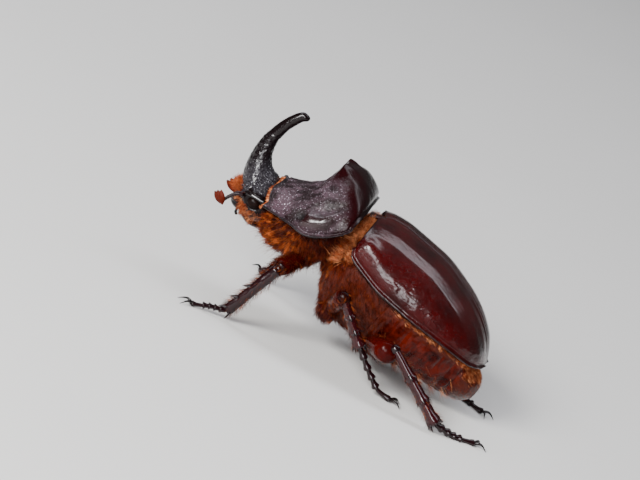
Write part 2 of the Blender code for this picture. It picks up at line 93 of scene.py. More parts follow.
def spline(*knots):
    """A smooth curve through knots that doesn't overshoot them. Each knot is a key and its value or
    values, and the curve takes one key or an array of them."""
    knots = np.array(knots, float)
    keys, values = knots[:, 0], knots[:, 1:]
    slopes = np.diff(values, axis=0) / np.diff(keys)[:, None]
    before, after = slopes[:-1], slopes[1:]
    same_way = before * after > 0
    mean = 2 * before * after / np.where(same_way, before + after, 1)
    tangents = np.vstack([slopes[:1], np.where(same_way, mean, 0), slopes[-1:]])

    def at(key):
        key = np.clip(np.asarray(key, float), keys[0], keys[-1])
        i = np.clip(np.searchsorted(keys, key, "right") - 1, 0, len(keys) - 2)
        step = (keys[i + 1] - keys[i])[..., None]
        x = (key - keys[i])[..., None] / step
        start = (1 + 2 * x) * (1 - x) ** 2 * values[i] + x * (1 - x) ** 2 * step * tangents[i]
        end = x * x * (3 - 2 * x) * values[i + 1] + x * x * (x - 1) * step * tangents[i + 1]
        return (start + end)[..., 0] if values.shape[1] == 1 else start + end

    return at


def steps(count):
    """That many even steps from 0 to 1."""
    return np.linspace(0, 1, count)


def runs(*spans):
    """Even steps over spans, each its start, end and count."""
    return np.concatenate([np.linspace(*span) for span in spans])


def smooth_step(x):
    """Smoothly from 0 to 1 as x goes from 0 to 1."""
    x = np.clip(x, 0, 1)
    return x * x * (3 - 2 * x)


def rise(x, start, width):
    """0 up to start, and from there smoothly to 1 over that width."""
    return smooth_step((x - start) / width)


def fall(x, end, width):
    """1 until that width before the end, and from there smoothly to 0."""
    return smooth_step((end - x) / width)


def bump(x, width):
    """1 where x is 0, fading to 0 over about twice that width."""
    return np.exp(-((x / width) ** 2))


def unit(vectors):
    """The vectors at a length of 1."""
    vectors = np.asarray(vectors, float)
    return vectors / np.maximum(np.linalg.norm(vectors, axis=-1, keepdims=True), 1e-9)


def lumps(points, size, octaves=3):
    """Noise from about -1 to 1, whose lumps are about that many millimetres across."""
    flat = points.reshape(-1, 3) / size
    found = [noise.fractal(Vector(p), 1.0, 2.0, octaves) for p in flat]
    return np.array(found).reshape(points.shape[:-1])


def pits(points, spacing, reach=0.42):
    """1 in the middle of round pits that lie about that far apart, and 0 between them."""
    flat = points.reshape(-1, 3) / spacing
    nearest = np.array([noise.voronoi(Vector(p))[0][0] for p in flat])
    return smooth_step(1 - nearest / reach).reshape(points.shape[:-1])


def floor_at(fore):
    """The floor's up in the beetle's frame."""
    return -RIDE_HEIGHT / cos(PITCH) - fore * tan(PITCH)


def on_floor(rings):
    """The rings with what would be under the floor laid flat on it."""
    rings = rings.copy()
    rings[..., 2] = np.maximum(rings[..., 2], floor_at(rings[..., 0]) + FLOOR_GAP)
    return rings


TURN = np.array(Matrix.Rotation(PITCH, 3, "Y"))
MIRROR = np.array((-1.0, -1.0, 1.0))
eye_low, eye_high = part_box("eye_l")
ORIGIN = np.array((eye_low + eye_high) / 2) - (EYE * MIRROR) @ TURN.T * MM


def turned(ways):
    """Directions of the beetle's frame in the world."""
    return (np.asarray(ways, float) * MIRROR) @ TURN.T


def placed(points):
    """Points of the beetle's frame in the world, in metres."""
    return turned(points) * MM + ORIGIN


# ---- Shapes that the solids have too ----

pronotum_edge = spline(
    (0.0, -0.1, 8.2, -2.8), (0.14, 0.5, 8.6, -3.9), (0.30, 2.1, 8.75, -5.65),
    (0.45, 3.8, 8.5, -6.8), (0.63, 5.7, 7.6, -7.2), (1.0, 9.6, 4.6, -8.55),
)
pronotum_dome = spline(
    (0.0, -0.75), (0.6, 0.2), (1.7, 0.95), (3.4, 1.5), (4.6, 1.3), (5.4, 1.0), (7.3, -0.2), (9.8, -5.3)
)
pronotum_hollow = spline(
    (0.0, -1.1), (3.0, 0.45), (4.5, 0.1), (5.4, -1.2), (6.0, -2.6), (7.3, -4.1), (9.8, -5.45)
)


def pronotum_point(along, across):
    """A point of the pronotum, and how rough its hollow is there, from 0 to 1."""
    edge = pronotum_edge(along)
    mid_fore = PRONOTUM_LENGTH * along
    angle = abs(across) * pi / 2
    left = edge[..., 1] * np.sin(angle) ** (2 / PRONOTUM_POWER)
    height = np.cos(angle) ** (2 / PRONOTUM_POWER)
    fore = mid_fore + (edge[..., 0] - mid_fore) * across**2
    beyond = np.maximum(left - RIDGE_HALF_LENGTH, 0)
    ridge = RIDGE_FORE - 0.95 * beyond
    breadth = 0.6 + 0.5 * np.maximum(left - 1.3, 0)
    in_hollow = smooth_step((fore - ridge) / breadth + 0.12 * np.minimum(beyond, 1))
    dome = pronotum_dome(mid_fore)
    top = dome + (pronotum_hollow(mid_fore) - dome) * in_hollow
    up = edge[..., 2] + (top - edge[..., 2]) * height
    tubercle = 0.24 * bump(left - TUBERCLE_LEFT, 0.62)
    up = up + bump(fore - RIDGE_FORE + 0.15, 0.75) * tubercle
    rough = rise(fore - ridge, 0.3, 0.9 + 0.4 * beyond)
    central = fall(left, RIDGE_HALF_LENGTH + 2.0, 3.2)
    crest = bump(fore - RIDGE_FORE, 0.36) * (0.1 + 0.22 * bump(left - TUBERCLE_LEFT, 0.6))
    fore = fore + central * (crest - 0.16 * bump(fore - RIDGE_FORE - 0.7, 0.5))
    front_edge = 0.3 * bump(abs(across) - 0.5, 0.2) - 0.3 * bump(abs(across) - 0.84, 0.1)
    fore = fore + front_edge * rise(along, 0.75, 0.25)
    return np.stack([fore, np.sign(across) * left, up], -1), rough


suture = spline(
    (0.0, -1.5, -0.95), (0.08, -2.8, -0.4), (0.22, -5.4, 0.05), (0.42, -9.8, 0.1),
    (0.64, -14.9, -0.85), (0.75, -17.4, -1.75), (0.87, -20.1, -3.4), (0.95, -21.5, -4.95),
    (1.0, -22.2, -6.05),
)
wing_edge = spline(
    (0.0, -1.6, 7.6, -4.4), (0.03, -2.2, 8.2, -5.1), (0.12, -4.0, 8.6, -5.5),
    (0.27, -7.6, 8.8, -6.0), (0.42, -10.8, 8.8, -6.0), (0.62, -15.0, 8.3, -5.85),
    (0.76, -18.0, 7.2, -5.95), (0.89, -20.8, 4.9, -6.3), (0.96, -21.9, 2.9, -6.3),
    (1.0, -22.3, 1.1, -6.15),
)


def wing_point(along, across, side):
    """A point of a wing case, with along from base to tip and across from suture to outer edge."""
    top, edge = suture(along), wing_edge(along)
    angle = across * pi / 2
    power = 2 / WING_POWER
    left = SUTURE_HALF_GAP + (edge[..., 1] - SUTURE_HALF_GAP) * np.sin(angle) ** power
    fore = top[..., 0] + (edge[..., 0] - top[..., 0]) * across**1.5
    up = edge[..., 2] + (top[..., 1] - edge[..., 2]) * np.cos(angle) ** power
    notch = np.maximum(1 - left / 1.7, 0) * np.maximum(1 - along / 0.08, 0)
    fore = fore - 0.6 * notch
    shoulder = 0.3 * bump(along - 0.09, 0.07) * bump(across - 0.74, 0.13)
    for row, column, height in ((0.06, 0.69, 0.22), (0.15, 0.75, 0.2), (0.25, 0.8, 0.1)):
        shoulder += height * bump(along - row, 0.05) * bump(across - column, 0.12)
    left, up = left + 0.45 * shoulder, up + 0.9 * shoulder
    return np.stack([fore, side * left, up], -1)


# Keyed by fore: half width, top, waist and bottom of the furred body and of the head.
body_shape = spline(
    (-23.65, 0.8, -8.9, -9.5, -10.2),
    (-23.4, 1.9, -8.2, -9.4, -11.0),
    (-22.6, 3.3, -7.4, -9.1, -11.8),
    (-21.2, 4.2, -6.6, -8.3, -12.35),
    (-19.5, 5.0, -4.8, -6.9, -12.67),
    (-16.5, 6.8, -2.85, -6.3, -13.2),
    (-13.0, 7.6, -1.7, -6.3, -13.8),
    (-9.5, 7.85, -1.15, -6.3, -14.2),
    (-6.2, 7.85, -1.1, -6.3, -14.6),
    (-3.2, 7.55, -1.5, -6.1, -14.5),
    (-1.6, 6.5, -2.2, -5.8, -12.8),
    (-0.5, 5.4, -2.8, -5.4, -10.8),
    (0.3, 6.3, -2.9, -4.8, -10.2),
    (1.4, 7.2, -1.5, -5.3, -11.0),
    (3.0, 7.3, -0.9, -6.3, -12.0),
    (4.6, 6.9, -2.4, -6.8, -12.5),
    (6.2, 6.1, -4.7, -7.4, -12.7),
    (7.4, 5.2, -5.7, -7.9, -12.4),
    (8.3, 4.2, -6.4, -8.4, -11.7),
    (9.3, 3.3, -7.0, -8.9, -11.2),
)
head_shape = spline(
    (8.7, 3.1, -6.9, -8.9, -11.5),
    (9.7, 3.5, -6.5, -9.0, -12.0),
    (10.3, 3.75, -6.05, -9.0, -11.8),
    (10.9, 3.8, -5.8, -9.05, -11.5),
    (11.6, 3.5, -5.95, -9.25, -10.9),
    (12.3, 2.9, -8.15, -9.5, -10.5),
    (13.1, 2.0, -9.2, -9.65, -10.1),
    (13.5, 1.4, -9.4, -9.65, -9.9),
)
horn_front = spline(
    (0.0, 13.45, -8.95), (0.15, 14.1, -7.8), (0.33, 14.7, -5.6), (0.5, 14.9, -3.5),
    (0.68, 14.6, -1.3), (0.84, 13.9, 0.9), (0.94, 13.1, 2.0), (1.0, 12.3, 2.2),
)
horn_rear = spline(
    (0.0, 11.0, -5.95), (0.15, 12.2, -5.2), (0.33, 13.05, -4.0), (0.5, 13.4, -2.5),
    (0.68, 13.3, -0.9), (0.84, 12.9, 0.5), (0.94, 12.5, 1.3), (1.0, 12.0, 1.5),
)
horn_half_width = spline((0.0, 2.5), (0.15, 1.8), (0.4, 1.1), (0.7, 0.75), (0.92, 0.5), (1.0, 0.25))


# ---- Meshes ----


def circle(count):
    angle = np.arange(count) / count * 2 * pi
    return np.cos(angle), np.sin(angle)


def body_rings(fore, sizes, count):
    """Closed cross-sections of the body, from their half widths, tops, waists and bottoms."""
    half_width, top, waist, bottom = (size[:, None] for size in sizes)
    c, s = circle(count)
    power = 2 / BODY_POWER
    left = half_width * np.sign(c) * abs(c) ** power
    tall = np.where(s > 0, top - waist, waist - bottom)
    up = waist + tall * np.sign(s) * abs(s) ** power
    return np.stack([fore[:, None] + 0 * c, left, up], -1)


def grid_normals(grid):
    """Unit normals of a grid of points, which point to where rows cross columns."""
    return unit(np.cross(np.gradient(grid, axis=0), np.gradient(grid, axis=1)))


def ring_normals(rings):
    """Unit normals that point out of closed rings."""
    around = np.roll(rings, -1, 1) - np.roll(rings, 1, 1)
    return unit(np.cross(around, np.gradient(rings, axis=0)))


def loft(rings):
    """The points and faces of a closed body through rings."""
    index = np.arange(rings.shape[0] * rings.shape[1]).reshape(rings.shape[:2])
    a, b = index[:-1], index[1:]
    quads = np.stack([a, np.roll(a, -1, 1), np.roll(b, -1, 1), b], -1).reshape(-1, 4)
    first, last = index.size, index.size + 1
    start, end = index[0], index[-1]
    start_cap = np.stack([np.full_like(start, first), np.roll(start, -1), start], -1)
    end_cap = np.stack([np.full_like(end, last), end, np.roll(end, -1)], -1)
    points = np.concatenate([rings.reshape(-1, 3), [rings[0].mean(0), rings[-1].mean(0)]])
    return points, [quads, start_cap, end_cap]


def path_rings(path, radii, count, broad=1.0, upright=(0, 0, 1)):
    """Rings along a path, broader by broad across the upright direction than along it."""
    ways = unit(np.gradient(path, axis=0))
    level = unit(np.cross(np.broadcast_to(upright, ways.shape), ways))
    over = np.cross(ways, level)
    c, s = circle(count)
    radii = np.broadcast_to(radii, len(path))[:, None, None]
    across = level[:, None] * c[:, None] * broad + over[:, None] * s[:, None]
    return path[:, None] + across * radii


def rounded(radius, share, ends=0.08):
    """Radii that close to a point over a share of the length at each end."""
    near = np.minimum(share, 1 - share) / ends
    return radius * np.sqrt(np.clip(1 - (1 - np.clip(near, 0, 1)) ** 2, 0.0004, 1))


def spike(root, way, length, radius, bend=(0, 0, 0), count=8, broad=1.0, upright=(0, 0, 1)):
    """A curved cone that stands on root."""
    share = steps(9)[:, None]
    path = np.array(root) + unit(way) * length * share + np.array(bend) * length * share**2
    radii = radius * (1 - share[:, 0] ** 1.3) + 0.012
    return loft(path_rings(path, radii, count, broad, upright))


def ball_rings(centre, radii, count=32):
    share = np.linspace(0.01, 0.99, count // 2)[:, None]
    c, s = circle(count)
    reach = np.sin(share * pi)
    rings = np.stack([-np.cos(share * pi) + 0 * c, reach * c, reach * s], -1)
    return rings * np.array(radii) + np.array(centre)


def ellipsoid(centre, radii, count=32):
    return loft(ball_rings(centre, radii, count))


def shell(grid, normals, thickness):
    """A closed plate under a grid of points, with rounded edges."""
    rows, columns = grid.shape[:2]
    under = grid - normals * thickness
    index = np.arange(rows * columns).reshape(rows, columns)
    quads = np.stack([index[:-1, :-1], index[1:, :-1], index[1:, 1:], index[:-1, 1:]], -1)
    quads = quads.reshape(-1, 4)
    border = np.concatenate([index[0, :-1], index[:-1, -1], index[-1, :0:-1], index[:0:-1, 0]])
    inner = np.concatenate([index[1, :-1], index[:-1, -2], index[-2, :0:-1], index[:0:-1, 1]])
    flat, flat_under = grid.reshape(-1, 3), under.reshape(-1, 3)
    outward = unit(flat[border] - flat[inner])
    rim = (flat[border] + flat_under[border]) / 2 + outward * PLATE * 0.4
    under_base, rim_base = index.size, 2 * index.size
    rim_index = np.arange(len(border)) + rim_base
    above = np.stack([border, np.roll(border, -1), np.roll(rim_index, -1), rim_index], -1)
    below_index = border + under_base
    below = np.stack(
        [rim_index, np.roll(rim_index, -1), np.roll(below_index, -1), below_index], -1
    )
    points = np.concatenate([flat, flat_under, rim])
    return points, [quads, quads[:, ::-1] + under_base, above, below]


def both_faces(part, values, rim):
    """A mask with the same values on both faces of a shell and one value round its rim."""
    rest = len(part[0]) - 2 * values.size
    return np.concatenate([values.ravel(), values.ravel(), np.full(rest, rim)])


def mesh_of(name, parts):
    """One mesh in the world of parts, each its points and its blocks of faces."""
    points, corners, sizes, base = [], [], [], 0
    for part_points, blocks in parts:
        points.append(placed(part_points))
        for block in blocks:
            corners.append((block + base).ravel())
            sizes.append(np.full(len(block), block.shape[1]))
        base += len(part_points)
    points, corners, sizes = (np.concatenate(each) for each in (points, corners, sizes))
    mesh = bpy.data.meshes.new(name)
    mesh.vertices.add(len(points))
    mesh.vertices.foreach_set("co", points.ravel())
    mesh.loops.add(len(corners))
    mesh.loops.foreach_set("vertex_index", corners)
    mesh.polygons.add(len(sizes))
    mesh.polygons.foreach_set("loop_start", np.cumsum(sizes) - sizes)
    mesh.update(calc_edges=True)
    mesh.validate()
    return mesh


def add_mask(mesh, name, values):
    """Numbers from 0 to 1, one for the mesh or one for each point, which a material reads."""
    values = np.broadcast_to(values, len(mesh.vertices)).astype(np.float32)
    mesh.attributes.new(name, "FLOAT", "POINT").data.foreach_set("value", values)


def add_piece(name, parts, material, slot, *nodes, **masks):
    """A piece of joined parts that rides on the beetle and stands for its nodes."""
    mesh = mesh_of(name, parts)
    bm = bmesh.new()
    bm.from_mesh(mesh)
    bmesh.ops.recalc_face_normals(bm, faces=bm.faces)
    bm.to_mesh(mesh)
    bm.free()
    for mask, values in masks.items():
        add_mask(mesh, mask, values)
    finish_piece(name, mesh, material, nodes)


def add_object(name, data):
    made = bpy.data.objects.new(name, data)
    bpy.context.scene.collection.objects.link(made)
    return made


def finish_piece(name, mesh, material, nodes=()):
    mesh.shade_smooth()
    mesh.materials.append(material)
    piece = add_object(name, mesh)
    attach(piece, BODY)
    if nodes:
        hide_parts(*nodes)


# ---- Materials ----


class Look:
    """A procedural material around a Principled shader."""

    def __init__(self, name, coat=0.0, coat_rough=0.1, gloss=0.5):
        self.material = bpy.data.materials.new(name)
        self.material.use_nodes = True
        self.tree = self.material.node_tree
        self.shader = self.tree.nodes["Principled BSDF"]
        self.shade("Coat Weight", coat)
        self.shade("Coat Roughness", coat_rough)
        self.shade("Specular IOR Level", gloss)
        self.place = self.node("TexCoord").outputs["Object"]

    def node(self, kind, inputs=None, **settings):
        made = self.tree.nodes.new("ShaderNode" + kind)
        for key, value in settings.items():
            setattr(made, key, value)
        for key, value in (inputs or {}).items():
            self.set(made.inputs[key], value)
        return made

    def set(self, socket, value):
        if isinstance(value, bpy.types.NodeSocket):
            self.tree.links.new(value, socket)
        else:
            socket.default_value = value

    def shade(self, name, value):
        """Sets an input of the Principled shader."""
        self.set(self.shader.inputs[name], value)

    def noise(self, size, detail=3.0):
        """Noise from 0 to 1 with lumps of that many millimetres."""
        inputs = {"Vector": self.place, "Scale": 1 / (size * MM), "Detail": detail, "Roughness": 0.55}
        return self.node("TexNoise", inputs).outputs["Fac"]

    def cells(self, spacing):
        """The distance from the middle of cells that lie that many millimetres apart."""
        inputs = {"Vector": self.place, "Scale": 1 / (spacing * MM)}
        return self.node("TexVoronoi", inputs).outputs["Distance"]

    def mask(self, name):
        return self.node("Attribute", attribute_name=name).outputs["Fac"]

    def plus(self, a, b):
        return self.node("Math", {0: a, 1: b}, operation="ADD").outputs[0]

    def times(self, a, b):
        return self.node("Math", {0: a, 1: b}, operation="MULTIPLY").outputs[0]

    def span(self, value, low, high, to_low=0.0, to_high=1.0):
        """Stretches low..high to to_low..to_high and holds it there."""
        inputs = {0: value, 1: low, 2: high, 3: to_low, 4: to_high}
        return self.node("MapRange", inputs).outputs[0]

    def blend(self, factor, a, b):
        made = self.node("Mix", data_type="RGBA")
        for socket, value in ((0, factor), (6, a), (7, b)):
            value = (*value, 1) if isinstance(value, tuple) else value
            self.set(made.inputs[socket], value)
        return made.outputs[2]

    def finish(self, colour, roughness, height=None, depth=0.0, strength=1.0):
        """Sets the colour, the roughness and a bump whose full height is depth millimetres."""
        self.shade("Base Color", colour)
        self.shade("Roughness", roughness)
        if height is not None:
            inputs = {"Height": height, "Distance": depth * MM, "Strength": strength}
            self.shade("Normal", self.node("Bump", inputs).outputs["Normal"])
        return self.material


def wing_case_look():
    """Deep mahogany, clear and glossy, finely punctate, darker at the margins."""
    look = Look("wing_case_chitin", coat_rough=0.19, gloss=0.07)
    look.shade("Coat Weight", look.span(look.mask("dull"), 0.0, 1.0, 0.6, 0.12))
    patches = look.span(look.noise(3.5), 0.35, 0.65)
    colour = look.blend(patches, (0.013, 0.0002, 0.0003), (0.036, 0.0004, 0.0006))
    dots = look.cells(0.3)
    colour = look.blend(look.span(dots, 0.05, 0.3, 0.7, 0.0), colour, (0.012, 0.0006, 0.0008))
    colour = look.blend(look.mask("margin"), colour, (0.006, 0.0015, 0.002))
    grain = look.noise(0.13)
    height = look.plus(look.span(dots, 0.0, 0.35), grain)
    return look.finish(colour, look.span(grain, 0.3, 0.7, 0.15, 0.24), height, 0.065)


def pronotum_look():
    """Dark purplish brown: glossy behind the ridge, grey and rugose in the hollow, with painted glints on
    the grains and painted shade in the dents.
    """
    look = Look("pronotum_chitin", gloss=0.08)
    rugged = look.mask("rugged")
    look.shade("Coat Weight", look.span(look.mask("shine"), 0.0, 1.0, 0.2, 1.0))
    look.shade("Coat Roughness", look.span(rugged, 0.05, 0.7, 0.19, 0.48))
    smooth = look.blend(look.noise(1.8), (0.006, 0.0005, 0.0009), (0.015, 0.001, 0.0017))
    # Patches where the rough parts are paler grey, and where the painted glints are denser.
    pale_patches = look.span(look.noise(1.7), 0.4, 0.62)
    fine = look.times(look.noise(0.22), pale_patches)
    rough = look.blend(fine, (0.009, 0.0014, 0.0028), (0.125, 0.075, 0.098))
    colour = look.blend(rugged, smooth, rough)
    grains = look.cells(0.24)
    # Painted glints: pale specks on the grains of the rough parts stand in for the sparkle of light on
    # them.
    painted_glints = look.times(look.span(grains, 0.1, 0.3, 1.0, 0.0), rugged)
    sparkle = look.times(look.span(look.noise(0.3), 0.42, 0.56), look.plus(pale_patches, 0.35))
    colour = look.blend(look.times(painted_glints, sparkle), colour, (0.66, 0.58, 0.66))
    # Black along the bead round the edge, and painted shade in the dent at the front end of each fold.
    colour = look.blend(look.mask("margin"), colour, (0.003, 0.0012, 0.0018))
    wrinkles = look.noise(0.2, 2.0)
    deep = look.times(look.plus(grains, wrinkles), rugged)
    height = look.plus(deep, look.times(wrinkles, 0.25))
    return look.finish(colour, look.span(rugged, 0.0, 1.0, 0.17, 0.36), height, 0.17)


def horn_look(name, coat):
    """Black, with coarse grains and grey patches where it is rugged, painted glints on those grains, and
    glossy elsewhere.
    """
    look = Look(name, coat=coat, coat_rough=0.1, gloss=0.1)
    rugged = look.mask("rugged")
    grains = look.cells(0.24)
    # Painted glints: pale specks on the grains of the rugged parts stand in for the sparkle of light on
    # them.
    painted_glints = look.times(look.span(grains, 0.05, 0.25, 1.0, 0.0), rugged)
    patches = look.times(rugged, look.noise(0.3))
    colour = look.blend(patches, (0.0035, 0.0013, 0.0015), (0.034, 0.031, 0.038))
    sparkle = look.span(look.noise(0.45), 0.42, 0.62)
    colour = look.blend(look.times(painted_glints, sparkle), colour, (0.66, 0.66, 0.72))
    height = look.plus(look.times(grains, rugged), look.times(look.noise(0.15), 0.2))
    return look.finish(colour, 0.17, height, 0.13)


def leg_look(name, dark, pale, coat):
    """Glossy chitin, black along ridges and teeth."""
    look = Look(name, coat=coat, coat_rough=0.13, gloss=0.05)
    colour = look.blend(look.noise(1.2), dark, pale)
    colour = look.blend(look.mask("margin"), colour, (0.003, 0.0008, 0.0014))
    height = look.plus(look.span(look.cells(0.4), 0.0, 0.3), look.noise(0.3))
    return look.finish(colour, look.span(look.noise(0.3), 0.3, 0.7, 0.2, 0.3), height, 0.018)


def skin_look():
    """Glossy red-brown chitin, orange where it thins, duller under thick hair."""
    look = Look("underside_chitin", coat_rough=0.12, gloss=0.08)
    patches = look.span(look.noise(1.5), 0.35, 0.65)
    bare = look.blend(patches, (0.016, 0.0008, 0.0004), (0.08, 0.005, 0.0013))
    bare = look.blend(look.mask("thin"), bare, (0.42, 0.05, 0.006))
    furred = look.blend(look.noise(0.5), (0.02, 0.0014, 0.0005), (0.08, 0.009, 0.0016))
    colour = look.blend(look.mask("fur"), bare, furred)
    colour = look.blend(look.mask("clear"), colour, (0.042, 0.014, 0.01))
    look.shade("Coat Weight", look.span(look.mask("clear"), 0.0, 1.0, 0.2, 0.5))
    height = look.plus(look.cells(0.4), look.noise(0.25))
    return look.finish(colour, look.span(look.mask("fur"), 0.0, 1.0, 0.24, 0.5), height, 0.05)


def eye_look():
    """Black and finely faceted."""
    look = Look("eye", coat_rough=0.1, gloss=0.06)
    colour = look.blend(look.noise(0.4), (0.002, 0.0012, 0.0012), (0.01, 0.004, 0.003))
    return look.finish(colour, 0.2, look.cells(0.05), 0.008, 0.4)


def club_look():
    """Matte red-brown plates with a fine down."""
    look = Look("club", gloss=0.08)
    colour = look.blend(look.noise(0.25), (0.01, 0.0006, 0.0003), (0.12, 0.011, 0.0025))
    return look.finish(colour, 0.45, look.noise(0.15), 0.02)


def hair_look(name, root, tip, bright):
    """Hair from dark roots to paler tips, some hairs brighter than others."""
    look = Look(name, gloss=0.1)
    colour = look.blend(look.mask("tip"), root, tip)
    colour = look.blend(look.mask("bright"), colour, bright)
    colour = look.blend(look.span(look.noise(0.55), 0.45, 0.6, 0.0, 0.8), colour, root)
    colour = look.blend(look.span(look.noise(2.4), 0.45, 0.62, 0.0, 0.65), colour, root)
    return look.finish(colour, 0.42)


def floor_look():
    """A pale matte floor."""
    look = Look("floor")
    colour = look.blend(look.noise(60.0), (0.72, 0.715, 0.695), (0.76, 0.755, 0.735))
    return look.finish(colour, 0.75)


# ---- Hair ----


def cell_centres(rings):
    """The middles of the cells between closed rings."""
    ahead = np.roll(rings, -1, 1)
    return (rings[:-1] + ahead[:-1] + rings[1:] + ahead[1:]) / 4


def scatter(rings, count, weight, rng):
    """Roots spread over closed rings by area times weight, one number or one for each cell: points,
    normals and places on an unwrap of the rings."""
    ahead = np.roll(rings, -1, 1)
    p00, p01, p10, p11 = rings[:-1], ahead[:-1], rings[1:], ahead[1:]
    cross = np.cross(p01 - p00, p10 - p00)
    chance = (np.linalg.norm(cross, axis=-1) * weight).ravel()
    cell = rng.choice(len(chance), size=count, p=chance / chance.sum())
    row, column = np.divmod(cell, rings.shape[1])
    s, t = rng.random(count), rng.random(count)
    low = p00[row, column] * (1 - t)[:, None] + p01[row, column] * t[:, None]
    high = p10[row, column] * (1 - t)[:, None] + p11[row, column] * t[:, None]
    points = low * (1 - s)[:, None] + high * s[:, None]
    places = np.stack([(column + t) / rings.shape[1], (row + s) / (len(rings) - 1)], -1)
    return points, unit(cross[row, column]), places


def comb(normals, lie, lift):
    """Directions along the surface the way of lie, lifted off it by lift radians."""
    flat = unit(lie - normals * (lie * normals).sum(-1, keepdims=True))
    return flat * np.cos(lift)[:, None] + normals * np.sin(lift)[:, None]


def tufts(rings, count, weight, rng, lie, lift, length, band=(0.0, 1.0), **style):
    """A batch of hair on closed rings for add_coat. Lift and length are ranges, lie is a direction
    or a function of the roots, and band is the start and height of its band of the unwrap."""
    roots, normals, places = scatter(rings, count, weight, rng)
    ways = comb(normals, lie(roots) if callable(lie) else lie, rng.uniform(*lift, count))
    lengths = rng.uniform(*length, count)
    return roots, ways, lengths, places * (1.0, band[1]) + (0, band[0]), style


HAIR_POINTS = 10  # three rings of three, and the tip
HAIR_SHARES = (0.0, 0.35, 0.7)  # where the rings are along a hair
HAIR_TAPER = (1.0, 0.85, 0.5)
HAIR_PATCH = 0.003  # the width of a hair's patch on its map
TUFT_CONTRAST = 2.6  # between the brightest tufts and their coat
CLUMP_BLOCK = 2000  # hairs at a time, to save memory
# Width, brightness, scatter of directions, hairs in a tuft, how firmly a tuft draws together, and
# four times the sag at the middle of a hair.
HAIR_STYLE = {"width": 0.05, "bright": 0.2, "mess": 0.12, "per_tuft": 7, "hold": 0.6, "sag": 0.15}


def clump(roots, tips, rng, per_tuft, hold):
    """Draws the tips of hairs towards those of their tuft."""
    centres = rng.choice(len(roots), size=max(1, len(roots) // per_tuft), replace=False)
    owner = np.empty(len(roots), int)
    for start in range(0, len(roots), CLUMP_BLOCK):
        block = slice(start, start + CLUMP_BLOCK)
        away = ((roots[block, None] - roots[centres][None]) ** 2).sum(-1)
        owner[block] = centres[away.argmin(1)]
    far = np.linalg.norm(roots[owner] - roots, axis=1, keepdims=True)
    return tips + (tips[owner] - tips) * hold * bump(far, 0.6), owner


def hair_mesh(name, points, uvs):
    """Hairs with three sides and a pointed tip, from three rings of three points and the tip's."""
    a = np.arange(3)
    b = (a + 1) % 3
    sides = [np.stack([a + k, b + k, b + k + 3, a + k + 3], -1) for k in (0, 3)]
    tip = np.stack([a + 6, b + 6, np.full(3, 9)], -1)
    foot = np.array([[2, 1, 0]])
    starts = np.arange(len(points))[:, None, None] * HAIR_POINTS
    quads = (np.concatenate(sides)[None] + starts).reshape(-1, 4)
    triangles = (np.concatenate([tip, foot])[None] + starts).reshape(-1, 3)
    mesh = mesh_of(name, [(points.reshape(-1, 3), [quads, triangles])])
    corner_points = np.empty(len(mesh.loops), int)
    mesh.loops.foreach_get("vertex_index", corner_points)
    uv_map = mesh.uv_layers.new(name="OFBake")
    uv_map.data.foreach_set("uv", uvs.reshape(-1, 2)[corner_points].ravel())
    return mesh


def add_coat(name, material, batches, seed):
    """One piece of hair. Each batch is its roots, directions, lengths, places on the unwrap and
    what it changes of HAIR_STYLE."""
    rng = np.random.default_rng(seed)
    points, uvs, bright_mask = [], [], []
    foot_to_tip = np.array([*np.repeat(HAIR_SHARES, 3), 1.0])
    turn = np.array([*np.tile((0.0, 0.5, 1.0), 3), 0.5])
    patch = np.stack([turn - 0.5, foot_to_tip - 0.5], -1) * HAIR_PATCH
    c, s = circle(3)
    for roots, ways, lengths, places, changes in batches:
        style = {**HAIR_STYLE, **changes}
        count = len(roots)
        ways = unit(ways + rng.normal(0, style["mess"], ways.shape))
        tips = roots + ways * lengths[:, None]
        tips, owner = clump(roots, tips, rng, style["per_tuft"], style["hold"])
        way = unit(tips - roots)
        side = unit(np.cross(way, rng.normal(0, 1, way.shape)))
        over = np.cross(way, side)
        widths = style["width"] * rng.uniform(0.75, 1.2, count)
        spread = side[:, None] * c[:, None] + over[:, None] * s[:, None]
        rings = []
        for share, taper in zip(HAIR_SHARES, HAIR_TAPER):
            middle = roots + (tips - roots) * share
            middle[:, 2] -= style["sag"] * (share - share**2)
            rings.append(middle[:, None] + spread * (widths * taper / 2)[:, None, None])
        points.append(on_floor(np.concatenate([*rings, tips[:, None]], 1)))
        uvs.append(places[:, None] + patch)
        tuft = rng.random(count)[owner]
        bright = style["bright"](roots) if callable(style["bright"]) else style["bright"]
        bright_mask.append(np.clip(bright * TUFT_CONTRAST * tuft**2, 0, 1))
    mesh = hair_mesh(name, np.concatenate(points), np.concatenate(uvs))
    hairs = len(mesh.vertices) // HAIR_POINTS
    add_mask(mesh, "tip", np.tile(foot_to_tip, hairs))
    add_mask(mesh, "bright", np.repeat(np.concatenate(bright_mask), HAIR_POINTS))
    finish_piece(name, mesh, material)


# ---- Plates ----


def edge_distances(grid):
    """How far each point of a grid is, over the grid, from its first row, its last row, its first
    column and its last column."""
    found = []
    for axis in (0, 1):
        apart = np.linalg.norm(np.diff(grid, axis=axis), axis=-1)
        along = np.cumsum(np.insert(apart, 0, 0, axis=axis), axis=axis)
        found += [along, along.take([-1], axis=axis) - along]
    return found


